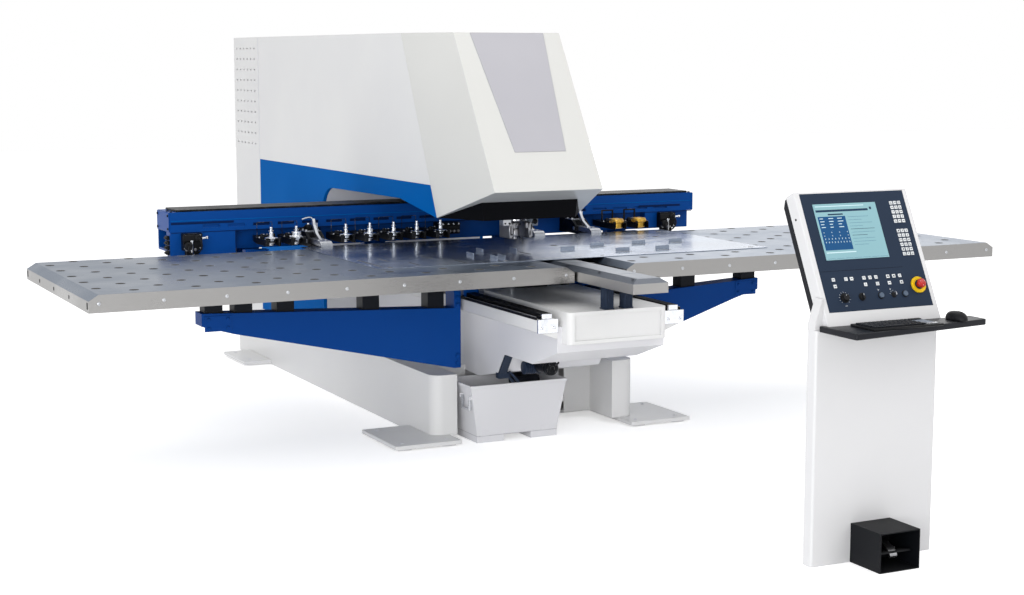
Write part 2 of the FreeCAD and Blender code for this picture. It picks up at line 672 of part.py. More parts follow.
# ---------------------------------------------------------------- the punching head
def punching_head():
    line = s.punch_line
    half = s.box_half_width
    housing = prism("head_block", "XY", s.box_bottom, s.box_height, [
        (-half, s.box_front), (half, s.box_front),
        (half, s.box_front + s.box_depth), (-half, s.box_front + s.box_depth),
    ])
    chamfer_edges(housing, s.box_chamfer, lambda edge: runs_along(edge, 2))
    pocket(housing, "XY", s.box_bottom - 1, s.box_height + 2,
           ("circle", 0, line, s.ram_radius + s.ram_clearance))
    finish(housing, "head_box")
    ram = rod("z", 0, 0, 0, s.ram_radius, s.ram_length)
    finish(ram, "ram", y=line, z=s.ram_bottom)
    shank = s.punch_radius
    foot = s.punch_bottom
    tip = foot + s.punch_tip_height
    barrel = tip + s.punch_barrel_height
    punch = stepped((shank / 2, foot, tip), (shank, tip, barrel),
                    (s.punch_collar_radius, barrel, s.ram_bottom))
    finish(punch, "punch_tool", y=line)
    top = s.die_top
    floor = top - s.die_height
    seat = s.die_radius + s.die_clearance
    blank = rod("z", 0, 0, s.lower_arm_top, s.holder_radius, s.holder_top - s.lower_arm_top)
    bores = stepped((seat, floor, top), (s.holder_bore, s.lower_arm_top - 1, floor))
    finish(without(blank, bores), "die_holder", y=line)
    low = floor + s.die_lift
    die = without(rod("z", 0, 0, low, s.die_radius, top - low),
                  rod("z", 0, 0, low - 1, s.slug_radius, top - low + 2))
    finish(die, "die", y=line)


# ---------------------------------------------------------------- the lower arm and middle table
def lower_arm_parts():
    half = s.nose_half_width
    nose = prism("nose_shell", "YZ", -half, half * 2, [
        (s.nose_front, s.nose_bottom), (s.lower_arm_front, s.nose_bottom),
        (s.lower_arm_front, s.lower_arm_top), (s.nose_back, s.lower_arm_top),
        (s.nose_back, s.nose_top), (s.nose_front, s.nose_top),
    ])
    front = s.nose_front.number
    round_edges(nose, s.nose_round, lambda edge: abs(middle(edge).y - front) < 1
                and runs_along(edge, 2))
    rim = s.nose_rim
    lip = s.nose_rim_height
    pocket(nose, "XZ", s.nose_front - 1, s.nose_recess + 1, [
        (-half + rim, s.nose_bottom + lip), (half - rim, s.nose_bottom + lip),
        (half - rim, s.nose_top - lip), (-half + rim, s.nose_top - lip),
    ])
    finish(nose, "nose_cover")
    length = s.guide_back - s.lower_arm_front
    bars = []
    rails = []
    caps = []
    for side, hand in ((-1, "left"), (1, "right")):
        inner = s.frame_half_width * side
        outer = (s.frame_half_width + s.guide_width) * side
        low_x = inner if side > 0 else outer
        bar = prism("guide_" + hand, "XZ", s.lower_arm_front, length, [
            (inner, s.guide_bottom - s.guide_flare), (outer, s.guide_bottom), (outer, s.guide_top),
            (inner, s.guide_top),
        ])
        bars.append(bar)
        centre = (s.frame_half_width + s.guide_width / 2) * side
        rail_half = s.rail_width / 2
        waist = rail_half - s.rail_neck
        neck = s.guide_top + s.rail_foot_height
        head = s.guide_top + s.rail_head_foot
        crown = s.guide_top + s.rail_height
        start = s.lower_arm_front + s.rail_setback
        rails.append(prism("y_rail_" + hand, "XZ", start, length - s.rail_setback, [
            (centre - rail_half, s.guide_top), (centre + rail_half, s.guide_top),
            (centre + waist, neck), (centre + rail_half, head), (centre + rail_half, crown),
            (centre - rail_half, crown), (centre - rail_half, head), (centre - waist, neck),
        ]))
        cap_low = s.guide_bottom - s.guide_cap_low
        caps.append(box(low_x, s.lower_arm_front - s.guide_cap, cap_low, s.guide_width,
                        s.guide_cap, s.guide_top + s.guide_cap_high - cap_low))
    finish(grouped(bars), "guide_bars")
    finish(grouped(rails), "y_rails")
    finish(grouped(caps), "guide_end_caps")


def middle_table():
    slant = s.middle_chamfer
    side_slant = s.middle_side_chamfer
    bottom = s.middle_top - s.middle_height
    table = prism("middle_plate", "XZ", s.middle_front, s.middle_back - s.middle_front, [
        (s.middle_left, bottom), (s.middle_right, bottom), (s.middle_right, s.middle_top - slant),
        (s.middle_right - side_slant, s.middle_top), (s.middle_left + side_slant, s.middle_top),
        (s.middle_left, s.middle_top - slant),
    ])
    front = s.middle_front.number
    top = s.middle_top.number
    chamfer_edges(table, slant, lambda edge: runs_along(edge, 0) and abs(middle(edge).y - front) < 1
                  and abs(middle(edge).z - top) < 1)
    wall = s.table_wall
    front_wall = s.middle_front + wall + s.end_relief
    pocket(table, "XY", bottom - 1, s.middle_height - slant - wall + 1, [
        (s.middle_left + wall, front_wall), (s.middle_right - wall, front_wall),
        (s.middle_right - wall, s.middle_back - wall), (s.middle_left + wall, s.middle_back - wall),
    ])
    finish(table, "middle_table")
    ceiling = s.middle_top - slant - wall
    posts = []
    for x in (s.post_left, s.post_right):
        posts.append(rod("z", x, s.post_line, s.nose_top, s.post_radius, ceiling - s.nose_top))
    posts.append(box(s.middle_left + wall + 1, s.middle_back - s.post_block_start, s.nose_top,
                     s.middle_right - s.middle_left - wall * 2 - 2, s.post_block_depth,
                     ceiling - s.nose_top))
    finish(grouped(posts), "middle_table_posts")


# ---------------------------------------------------------------- scrap bin and chute
def scrap_parts():
    left = s.bin_left
    right = s.bin_right
    left_foot = left + s.bin_draft
    right_foot = right - s.bin_right_draft
    plinth = s.bin_plinth
    bin_body = prism("bin_shell", "XZ", s.bin_front, s.bin_depth, [
        (left_foot, plinth), (right_foot, plinth), (right, s.bin_height), (left, s.bin_height),
    ])
    wall = s.bin_wall
    pocket(bin_body, "XZ", s.bin_front + wall, s.bin_depth - wall * 2, [
        (left_foot + wall, plinth + wall), (right_foot - wall, plinth + wall),
        (right - wall, s.bin_height + 1), (left + wall, s.bin_height + 1),
    ])
    handle_line = s.bin_front + s.handle_width / 2 + wall * 2
    slope = s.bin_draft / (s.bin_height - plinth)
    face = left + slope * (s.bin_height - s.handle_height)
    pin = s.handle_radius
    pin_x = face - s.ear_reach / 2
    ears = []
    for end in (-1, 1):
        ear_y = handle_line + s.handle_width / 2 * end - s.ear_thickness / 2
        ear = box(face - s.ear_reach, ear_y, s.handle_height - pin * 2, s.ear_reach + s.ear_lap,
                  s.ear_thickness, pin * 4)
        hole = rod("y", pin_x, ear_y - 1, s.handle_height, pin + s.pin_clearance,
                   s.ear_thickness + 2)
        ears.append(without(ear, hole))
    runners = [
        box(left_foot, s.bin_front, 0, s.bin_notch_left - left_foot, s.bin_depth, plinth),
        box(s.bin_notch_right, s.bin_front, 0, right_foot - s.bin_notch_right, s.bin_depth, plinth),
    ]
    finish(grouped([fused([bin_body] + ears)] + runners), "scrap_bin")
    finish(handle_bail(), "bin_handle", x=pin_x, y=handle_line, z=s.handle_height)
    finish(grouped([chute_plate(), chute_cylinder()]), "scrap_chute")


def handle_bail():
    # A square bail that hangs from two round pins in the bin's ears.
    pin = s.handle_radius
    half = s.handle_width / 2
    inset = s.handle_pin_inset
    pin_length = inset + s.ear_thickness / 2
    low = -s.handle_drop - pin
    return fused([
        rod("y", 0, -half - s.ear_thickness / 2, 0, pin, pin_length),
        rod("y", 0, half - inset, 0, pin, pin_length),
        box(-pin, -half + inset - pin, low, pin * 2, pin * 2, s.handle_drop + pin * 2),
        box(-pin, half - inset - pin, low, pin * 2, pin * 2, s.handle_drop + pin * 2),
        box(-pin, -half + inset, low, pin * 2, (half - inset) * 2, pin * 2),
    ])


def chute_plate():
    # A bent plate from the frame's heel to a lip that turns down over the bin.
    wall = s.bin_wall
    top = s.chute_top
    lip = s.chute_lip
    tip = lip - s.lip_run
    low = top - s.lip_drop
    return prism("chute_sheet", "YZ", s.chute_left, s.chute_width, [
        (s.heel, top - s.chute_fall), (s.heel, top), (lip, top), (tip, low),
        (tip + wall, low - wall / 2), (lip + wall / 2, top - wall), (s.heel - wall, top - wall),
        (s.heel - wall, top - s.chute_fall),
    ])


def chute_cylinder():
    # The cylinder that hangs by a bracket under the lower arm and works the chute.
    line = s.step_height - s.cylinder_drop
    return fused([
        rod("y", s.chute_left + s.bracket_inset + s.bracket_width / 2,
            s.step - s.cylinder_length - s.cylinder_gap, line, s.cylinder_radius, s.cylinder_length),
        box(s.chute_left + s.bracket_inset, s.step - s.bracket_reach, line, s.bracket_width,
            s.bracket_depth, s.cylinder_drop),
    ])


# ---------------------------------------------------------------- the travelling table
def table_half(hand, left, right):
    low = s.table_top - s.apron_height
    wall = s.table_wall
    cut_x = s.end_chamfer_width
    cut_z = s.end_chamfer_height
    table = prism("table_tray_" + hand, "XZ", s.table_front, s.table_depth, [
        (left, low), (right, low), (right, s.table_top - cut_z), (right - cut_x, s.table_top),
        (left + cut_x, s.table_top), (left, s.table_top - cut_z),
    ])
    bend = s.table_top - cut_z - s.end_relief
    inner_x = cut_x + s.end_relief
    pocket(table, "XZ", s.table_front + wall, s.table_depth - wall * 2, [
        (left + wall, low - 1), (right - wall, low - 1), (right - wall, bend),
        (right - inner_x, s.table_top - wall), (left + inner_x, s.table_top - wall),
        (left + wall, bend),
    ])
    finish(table, "table_" + hand)


def cantilever(hand, side, reach):
    root = arm_root
    flange = root + s.arm_flange
    flange_top = s.arm_root_top + s.flange_rise
    wall = s.arm_wall
    tip = reach - s.arm_tip_run
    tip_low = s.arm_end_bottom + s.arm_tip_height
    arm = prism("arm_plate_" + hand, "XZ", s.arm_front, s.arm_depth, [
        (root * side, s.arm_root_bottom), (root * side, flange_top), (flange * side, flange_top),
        (flange * side, s.arm_root_top), (reach * side, s.arm_end_top), (reach * side, tip_low),
        (tip * side, s.arm_end_bottom), (flange * side, s.arm_root_bottom),
    ])
    pocket(arm, "XZ", s.arm_front + wall, s.arm_depth, [
        (flange * side, s.arm_root_bottom + wall * 2), (flange * side, s.arm_root_top - wall),
        ((reach - wall) * side, s.arm_end_top - wall), ((reach - wall) * side, tip_low + wall),
        (tip * side, s.arm_end_bottom + wall),
    ])
    finish(arm, "cantilever_" + hand)


def y_carriage():
    girders = []
    shoes = []
    top = s.girder_top
    wall = s.bridge_wall
    floor = s.guide_top + s.rail_height + s.shoe_clearance
    skirt = s.guide_top + s.shoe_skirt
    seat = floor + s.shoe_crown
    front = s.arm_front
    back = s.bridge_front
    for side in (-1, 1):
        root = arm_root
        inner = root - s.girder_width
        girder = prism("side_girder", "XZ", front, back - front, [
            (inner * side, seat), (root * side, seat), (root * side, top), (inner * side, top),
        ])
        pocket(girder, "XZ", front + wall, back - front, [
            ((inner + wall) * side, seat + wall), ((root - wall) * side, seat + wall),
            ((root - wall) * side, top - wall), ((inner + wall) * side, top - wall),
        ])
        girders.append(girder)
        centre = (s.frame_half_width + s.guide_width / 2) * side
        half = s.shoe_width / 2
        gap = s.rail_width / 2 + s.shoe_clearance
        for y in (front + s.shoe_front_inset, back - s.shoe_back_inset - s.shoe_length):
            shoes.append(prism("y_shoe", "XZ", y, s.shoe_length, [
                (centre - half, skirt), (centre - gap, skirt), (centre - gap, floor),
                (centre + gap, floor), (centre + gap, skirt), (centre + half, skirt),
                (centre + half, seat), (centre - half, seat),
            ]))
    reach = s.bridge_half_length
    far = back + s.bridge_depth
    bridge = prism("bridge_box", "YZ", -reach, reach * 2, [
        (back, s.bridge_bottom), (far, s.bridge_bottom), (far, s.bridge_top), (back, s.bridge_top),
    ])
    pocket(bridge, "YZ", -reach - 1, reach * 2 + 2, [
        (back + wall, s.bridge_bottom + wall), (far - wall, s.bridge_bottom + wall),
        (far - wall, s.bridge_top - wall), (back + wall, s.bridge_top - wall),
    ])
    finish(fused([bridge] + girders + shoes), "carriage_frame")
    rails = []
    rail_reach = reach - s.x_rail_inset
    for y in x_rail_lines():
        rails.append(box(-rail_reach, y - s.x_rail_width / 2, s.bridge_top, rail_reach * 2,
                         s.x_rail_width, s.x_rail_height))
    finish(grouped(rails), "x_rails")


# Distances from the punch line to the blocks that stand on each arm.
left_supports = (1735, 1585, 1370, 918, 560)
right_supports = (1355, 560, 960)


def table_supports():
    # Each block stands on the arm's sloping top and carries the table.
    supports = []
    half = s.support_width / 2
    under = s.table_top - s.table_wall
    flange = arm_root + s.arm_flange
    for side, places, end in ((-1, left_supports, s.arm_left_end), (1, right_supports, s.arm_right_end)):
        slope = (s.arm_end_top - s.arm_root_top) / (end - flange)
        for place in places:
            near = value(place) - half
            far = value(place) + half
            supports.append(prism("table_block", "XZ", s.arm_front + s.support_inset,
                                  s.arm_depth - s.support_inset * 2, [
                (near * side, s.arm_root_top + (near - flange) * slope),
                (far * side, s.arm_root_top + (far - flange) * slope),
                (far * side, under), (near * side, under),
            ]))
    finish(grouped(supports), "table_supports")


def x_rail_lines():
    centre = s.bridge_front + s.bridge_depth / 2
    return (centre - s.x_rail_spacing / 2, centre + s.x_rail_spacing / 2)


# ---------------------------------------------------------------- the X carriage
def x_carriage():
    half = s.rail_half_length
    front = s.rail_front
    back = s.rail_front + s.rail_depth
    face = s.rail_top - s.rail_face_height
    rail = prism("rail_beam", "YZ", -half, half * 2, [
        (front, face), (front, s.rail_top), (back, s.rail_top), (back, s.rail_bottom),
        (front + s.rail_face_depth, s.rail_bottom), (front + s.rail_face_depth, face),
    ])
    inner = s.rail_lip
    pocket(rail, "YZ", -half - 1, half * 2 + 2, [
        (front + s.rail_face_depth + inner, s.rail_top - inner), (back - inner, s.rail_top - inner),
        (back - inner, s.rail_bottom + inner), (front + s.rail_face_depth + inner, s.rail_bottom + inner),
    ])
    slots = []
    first = -s.slot_pitch * (s.slot_count - 1) / 2 - s.slot_length / 2
    for index in range(int(s.slot_count.number)):
        slots.append(box(first + s.slot_pitch * index, front - 1, s.slot_line - s.slot_height / 2,
                         s.slot_length, s.slot_depth + 1, s.slot_height))
    strip_back = back - s.strip_setback
    strip_top = s.rail_top + s.strip_height
    strip = prism("strip", "YZ", -half + s.strip_inset, (half - s.strip_inset) * 2, [
        (strip_back - s.strip_depth, s.rail_top), (strip_back, s.rail_top),
        (strip_back, strip_top), (strip_back - s.strip_depth, strip_top),
    ])
    finish(strip, "rail_top_strip")
    plates = [
        box(-half, front, s.left_plate_low, s.left_plate_length, s.plate_depth,
            face - s.left_plate_low),
        box(half - s.right_plate_start, front, s.right_plate_low, s.right_plate_length,
            s.plate_depth, face - s.right_plate_low),
    ]
    shoes = []
    floor = s.bridge_top + s.x_rail_height + s.shoe_clearance
    skirt = s.bridge_top + s.x_shoe_skirt
    gap = s.x_rail_width / 2 + s.shoe_clearance
    wide = s.x_shoe_width / 2
    for y in x_rail_lines():
        for x in x_shoe_places:
            shoes.append(prism("x_shoe", "YZ", x - s.x_shoe_length / 2, s.x_shoe_length, [
                (y - wide, skirt), (y - gap, skirt), (y - gap, floor), (y + gap, floor),
                (y + gap, skirt), (y + wide, skirt), (y + wide, s.rail_bottom),
                (y - wide, s.rail_bottom),
            ]))
    finish(fused([without(rail, grouped(slots))] + plates + shoes), "cross_rail")


def valve_units():
    # A valve with a narrower foot at each end of the rail, and one plain unit at its middle.
    half = s.rail_half_length
    deep = s.valve_depth
    foot = s.valve_foot
    valves = []
    for x in (-half + s.left_valve, half - s.right_valve):
        valves.append(box(x, s.rail_front - deep, s.valve_low, s.valve_width, deep, s.valve_height))
        valves.append(box(x + s.valve_foot_inset, s.rail_front - foot, s.valve_low - foot,
                          s.valve_width - s.valve_foot_inset * 2, foot, foot))
    valves.append(box(s.centre_valve_left,
                      s.rail_front + s.rail_face_depth - s.centre_valve_depth, s.centre_valve_low,
                      s.centre_valve_width, s.centre_valve_depth, s.centre_valve_height))
    finish(grouped(valves), "valve_units")


# Places along the cross rail, from the punch line.
x_shoe_places = (-1180, -420, 420, 1180)
punch_stations = (-1151, -1008, -721, -579, -437, -297, -152)
rotation_stations = (996, 1148)
clamp_places = (-870, 430, 800)


def cassette(x, opening):
    # A fork-shaped holder whose open side faces the operator.
    line = s.station_line
    half = s.cassette_width / 2
    tail = s.cassette_tail / 2
    shoulder = line + s.cassette_depth
    back = s.rail_front + s.rail_face_depth
    return prism("cassette", "XY", s.cassette_low, s.cassette_height, [
        (x - half, line - s.cassette_cheek), (x - opening, line - s.cassette_tip),
        (x - opening, line + opening), (x + opening, line + opening),
        (x + opening, line - s.cassette_tip), (x + half, line - s.cassette_cheek),
        (x + half, shoulder), (x + tail, back), (x - tail, back), (x - half, shoulder),
    ])


def wire_guard(x):
    # Two upright wires behind a station and one across their tops.
    wire = s.guard_wire
    half = s.cassette_width / 2
    line = s.station_line + s.cassette_depth - s.guard_setback - wire
    top = s.cassette_low + s.cassette_height
    wires = []
    for end in (-1, 1):
        wires.append(box(x + (half - wire - s.guard_inset) * end - wire, line, top, wire * 2,
                         wire * 2, s.guard_height - s.cassette_height))
    wires.append(box(x - half + s.guard_inset, line, s.cassette_low + s.guard_height,
                     (half - s.guard_inset) * 2, wire * 2, wire * 2))
    return wires


def tool_shank(radius):
    return prism("tool_shank", "XY", s.cassette_low + 1, s.cassette_height - 1,
                 hexagon(value(0), value(0), radius * 2))


def tool_stations():
    line = s.station_line
    shoulder = s.cassette_low + s.cassette_height
    cassettes = []
    tools = []
    rings = []
    for x in punch_stations:
        cassettes.append(cassette(x, s.shank_radius))
        stem = prism("tool_stem", "XY", shoulder, s.stem_top - shoulder,
                     hexagon(value(0), value(0), s.stem_radius * 2))
        collar = rod("z", 0, 0, shoulder, s.collar_radius, s.collar_height)
        tool = fused([tool_shank(s.shank_radius - s.shank_gap), collar, stem])
        tools.append(moved(tool, value(x), line))
    for x in rotation_stations:
        cassettes.append(fused([cassette(x, s.gold_radius + s.gold_gap)] + wire_guard(x)))
        ring = rod("z", 0, 0, shoulder, s.gold_ring_radius, s.gold_height)
        rings.append(moved(fused([tool_shank(s.gold_radius), ring]), value(x), line))
    finish(grouped(tools), "punch_tools")
    finish(grouped(rings), "rotation_tools")
    finish(grouped(cassettes), "tool_cassettes")


def clamp_body(x):
    # A lower jaw under the sheet, two cheeks for the pivot pin and a back that meets the rail.
    sheet_low = s.table_top + s.sheet_lift
    sheet_high = sheet_low + s.sheet_thickness
    front = s.clamp_front
    pivot = front + s.jaw_length
    half = s.clamp_width / 2
    ear = half - s.clamp_cheek + s.cheek_gap
    back = s.rail_front
    top = sheet_high + s.clamp_height
    foot = sheet_low - s.lower_jaw_height
    rail_foot = s.rail_top - s.rail_face_height
    made = prism("clamp_base", "YZ", x - half, half * 2, [
        (front, foot), (front, sheet_low), (pivot - s.seat_start, sheet_low),
        (pivot - s.seat_start, sheet_high + s.seat_lift), (pivot - s.seat_end, sheet_high + s.seat_lift),
        (pivot - s.seat_end, sheet_high + s.seat_rise), (pivot + s.body_slope_end, top), (back, top),
        (back, rail_foot), (back + s.rail_face_depth, rail_foot), (back + s.rail_face_depth, foot),
    ])
    pocket(made, "YZ", x - ear, ear * 2, [
        (front - 1, sheet_low), (pivot + s.body_slot_end, sheet_low),
        (pivot + s.body_slot_end, top + 1), (front - 1, top + 1),
    ])
    pin = rod("x", x - half, pivot, sheet_high + s.pivot_rise, s.pivot_radius, half * 2)
    return fused([made, pin])


def clamp_jaw(name):
    # The upper jaw: a tapered lever with a rounded heel about its pivot pin.
    sheet_high = s.table_top + s.sheet_lift + s.sheet_thickness
    front = s.clamp_front
    pivot = front + s.jaw_length
    pin_z = sheet_high + s.pivot_rise
    ear = s.clamp_width / 2 - s.clamp_cheek
    heel = s.heel_half
    jaw = prism(name + "_lever", "YZ", -ear, ear * 2, [
        (front, sheet_high + s.jaw_gap), (pivot - s.body_slot_end, sheet_high + s.jaw_gap),
        (pivot - heel + 5, pin_z - heel), (pivot + heel - 1, pin_z - heel),
        (pivot + s.heel_reach, pin_z + s.heel_reach),
        (pivot - s.jaw_knee, sheet_high + s.jaw_knee_height),
        (front + s.jaw_slope_run, sheet_high + s.jaw_height),
        (front, sheet_high + s.jaw_nose_height),
    ])
    hole = rod("x", -ear - 1, pivot, pin_z, s.pivot_radius + s.pin_clearance, ear * 2 + 2)
    return without(jaw, hole)


def clamps():
    for index, x in enumerate(clamp_places, start=1):
        name = "clamp_jaw_%d" % index
        finish(clamp_jaw(name), name, x=x)
    finish(grouped([clamp_body(x) for x in clamp_places]), "clamp_bodies")


# Near corners of the upright tabs on the sheet: those that run along X, then those along Y.
tabs_along = ((404, -250), (671, -240), (908, -240), (407, -524), (648, -530), (173, -345))
tabs_across = ((-380, -430), (-331, -610), (-253, -275), (-275, -585), (-77, -316))


def workpiece():
    low = s.table_top + s.sheet_lift
    blank = prism("blank", "XY", low, s.sheet_thickness, [
        (s.sheet_left, s.sheet_front), (s.sheet_right, s.sheet_front),
        (s.sheet_right, s.sheet_back), (s.sheet_left, s.sheet_back),
    ])
    top = low + s.sheet_thickness
    tabs = [box(x, y, top, s.tab_length, s.sheet_thickness, s.tab_height) for x, y in tabs_along]
    tabs += [box(x, y, top, s.sheet_thickness, s.tab_length, s.tab_height) for x, y in tabs_across]
    finish(grouped([blank] + tabs), "workpiece_sheet")


# ---------------------------------------------------------------- the operator's console
panel_sine = Value(math.sin(math.radians(driving["panel_lean"])), "sin(Sizes.panel_lean * 1 deg)")
panel_cosine = Value(math.cos(math.radians(driving["panel_lean"])), "cos(Sizes.panel_lean * 1 deg)")


def panel_place(node, label, x=0, up=0, out=0):
    # Puts a piece that was made flat on the leaning face of the operator's panel.
    y = s.panel_foot_line + value(up) * panel_sine - value(out) * panel_cosine
    z = panel_low + value(up) * panel_cosine + value(out) * panel_sine
    finish(node, label, x=s.panel_left + x, y=y, z=z, turn=90 - s.panel_lean)


# Distances along the panel to the keys of its two rows.
key_rows = ((49, 109, 136, 195, 224, 253, 311, 340, 369), (50, 195, 253, 311, 370))


def console():
    wide = s.panel_right - s.panel_left
    pillar = prism("pillar_column", "XY", 0, s.pillar_height, [
        (s.pillar_left, s.pillar_front), (s.pillar_right, s.pillar_front),
        (s.pillar_right, s.pillar_front + s.pillar_depth),
        (s.pillar_left, s.pillar_front + s.pillar_depth),
    ])
    round_edges(pillar, s.pillar_round, lambda edge: runs_along(edge, 2))
    finish(pillar, "console_pillar")
    margin = s.desk_margin
    deep = s.desk_thickness
    top = s.panel_length
    drop = (s.pillar_height - panel_low) / panel_cosine
    housing = prism("desk_shell", "YZ", -margin, wide + margin * 2, [
        (drop, 0), (top + margin, 0), (top + margin, -deep + s.desk_chamfer_height),
        (top + margin - s.desk_chamfer_length, -deep),
        (drop + deep * panel_sine / panel_cosine, -deep),
    ])
    gap = s.plate_gap
    pocket(housing, "XY", -s.plate_thickness, s.plate_thickness + 1, [
        (-gap, -gap), (wide + gap, -gap), (wide + gap, top + gap), (-gap, top + gap),
    ])
    panel_place(housing, "console_housing")
    plate = prism("plate_sheet", "XY", -s.plate_thickness, s.plate_thickness, [
        (0, 0), (wide, 0), (wide, top), (0, top),
    ])
    ring = rod("z", s.stop_along, s.stop_up, -1, s.stop_ring_radius, s.stop_ring_height + 1)
    well = rod("z", s.stop_along, s.stop_up, -s.plate_thickness - 1, s.stop_well_radius,
               s.plate_thickness + s.stop_ring_height + 2)
    holes = [well]
    for along in (s.start_along, s.halt_along):
        holes.append(rod("z", along, s.control_line, -s.plate_thickness - 1,
                         s.button_stem + s.pin_clearance, s.plate_thickness + 2))
    panel_place(without(fused([plate, ring]), grouped(holes)), "operator_plate")
    screen = prism("screen_glass", "XY", s.panel_lift, s.screen_thickness, [
        (s.screen_left, s.screen_low), (s.screen_left + s.screen_width, s.screen_low),
        (s.screen_left + s.screen_width, s.screen_low + s.screen_height),
        (s.screen_left, s.screen_low + s.screen_height),
    ])
    panel_place(screen, "screen")
    keys = []
    places = []
    for rows, foot in ((5, s.upper_pad), (6, s.lower_pad)):
        for column in range(3):
            for line in range(rows):
                places.append((s.pad_left + s.key_pitch * column, foot + s.key_pitch * line))
    for line, foot in zip(key_rows, (s.upper_row, s.lower_row)):
        places += [(value(along), foot) for along in line]
    for along, foot in places:
        keys.append(box(along, foot, s.panel_lift, s.key_size, s.key_size, s.key_height))
    panel_place(grouped(keys), "panel_keys")


def controls():
    row = s.control_line
    foot = s.control_foot
    inner = s.stop_well_radius - s.control_gap
    lift = s.stop_ring_height + s.stop_travel + 1
    stop = stepped((inner, 2, lift), (s.stop_radius, lift, s.stop_height))
    panel_place(stop, "stop_button", x=s.stop_along, up=s.stop_up)
    dial = stepped((s.dial_radius, foot, s.dial_skirt),
                   (s.dial_grip_radius, s.dial_skirt, s.dial_height))
    panel_place(dial, "override_dial", x=s.dial_along, up=row)
    panel_place(fused([rod("z", 0, 0, foot, s.knob_radius, s.knob_skirt - foot),
                       ridge(s.knob_ridge, s.knob_radius, s.knob_skirt - 1, s.knob_height)]),
                "mode_knob", x=s.knob_along, up=row)
    panel_place(fused([rod("z", 0, 0, foot, s.key_radius, s.lock_height - foot),
                       ridge(s.blade_width, s.key_radius, s.lock_height - 1, s.key_blade_height)]),
                "key_switch", x=s.key_along, up=row)
    for along, name in ((s.start_along, "start_button"), (s.halt_along, "halt_button")):
        low = foot + s.button_travel
        cap = stepped((s.button_stem, low - s.plate_thickness, low),
                      (s.button_radius, low, s.button_height))
        panel_place(cap, name, x=along, up=row)


def ridge(width, radius, low, high):
    # A flat grip that crosses a round knob and stops short of its rim.
    length = radius - 1
    return box(-width / 2, -length, low, width, length * 2, high - low)


def desk():
    drop = s.pillar_height - panel_low
    shelf_back = s.panel_foot_line + drop * panel_sine / panel_cosine - s.control_gap
    low = shelf_top - s.shelf_thickness
    shelf = prism("shelf_board", "XY", low, s.shelf_thickness, [
        (s.shelf_left, s.shelf_front), (s.shelf_right, s.shelf_front + s.shelf_skew),
        (s.shelf_right, shelf_back), (s.shelf_left, shelf_back),
    ])
    round_edges(shelf, s.shelf_round, lambda edge: runs_along(edge, 2)
                and middle(edge).y < shelf_back.number - 1)
    inset = s.shelf_bracket_inset
    edge = s.shelf_bracket_edge
    hang = low - s.shelf_bracket_drop
    tip = shelf_back - s.shelf_bracket_tip
    bracket = prism("shelf_bracket", "YZ", s.pillar_left + inset,
                    s.pillar_right - s.pillar_left - inset * 2, [
        (s.pillar_front, low), (s.pillar_front, hang), (s.pillar_front - edge, hang),
        (tip + edge, low - edge), (tip, low),
    ])
    finish(fused([shelf, bracket]), "console_shelf")
    left = s.keyboard_left
    back = shelf_back - s.keyboard_inset
    front = back - s.keyboard_depth
    board = box(left, front, shelf_top, s.keyboard_width, s.keyboard_depth, s.board_height)
    caps = []
    for row in range(5):
        caps.append(box(left + s.key_row_inset, front + s.key_row_front + s.key_row_pitch * row,
                        shelf_top + s.board_height - 1, s.keyboard_width - s.key_row_inset * 2,
                        s.key_row_depth, s.keyboard_height - s.board_height + 1))
    finish(fused([board] + caps), "keyboard")
    mouse = prism("mouse_block", "XY", shelf_top, s.mouse_height, [
        (s.mouse_line - s.mouse_width / 2, back - s.mouse_length),
        (s.mouse_line + s.mouse_width / 2, back - s.mouse_length),
        (s.mouse_line + s.mouse_width / 2, back), (s.mouse_line - s.mouse_width / 2, back),
    ])
    chamfer_edges(mouse, s.mouse_chamfer, lambda edge: runs_along(edge, 2))
    finish(mouse, "mouse")


def foot_switch():
    left = s.pedal_left
    wide = s.pedal_width
    wall = s.pedal_wall
    front = s.pedal_front
    high = s.pedal_height
    outer = box(left, front, 0, wide, s.pedal_depth, high)
    inner = box(left + wall, front - 1, wall, wide - wall * 2, s.pedal_depth - wall + 1, high - wall * 2)
    pivot_y = front + s.pedal_depth - s.pedal_pin_inset
    pivot_z = s.pedal_pin_height
    pin = s.pedal_pin_radius
    axle = rod("x", left + wall - 1, pivot_y, pivot_z, pin, wide - wall * 2 + 2)
    finish(fused([without(outer, inner), axle]), "pedal_box")
    half = wide / 2 - wall - s.treadle_gap
    hub = s.treadle_hub
    low = s.treadle_low
    knee = -s.treadle_knee
    toe = -s.treadle_length
    pedal = prism("treadle", "YZ", -half, half * 2, [
        (hub, -low), (hub, low), (knee, low * 2 + 2), (toe, s.treadle_rise),
        (toe - 2, s.treadle_rise - pin), (knee, low + 2), (-low, -low),
    ])
    bore = rod("x", -half - 1, 0, 0, pin + s.pin_clearance, half * 2 + 2)
    finish(without(pedal, bore), "foot_pedal", x=left + wide / 2, y=pivot_y, z=pivot_z)


def check_and_write():
    doc.recompute()
    for thing in doc.Objects:
        if "Invalid" in thing.State or "Error" in thing.State:
            raise RuntimeError("%s is %s" % (thing.Name, thing.State))
    os.makedirs("parts", exist_ok=True)
    for node in nodes:
        if node.Shape.isNull() or not node.Shape.isValid():
            raise RuntimeError(node.Label + " has no valid shape")
    for node in nodes:
        node.Shape.exportStep("parts/%s.step" % node.Label)
    print(len(nodes), "sub-parts written")


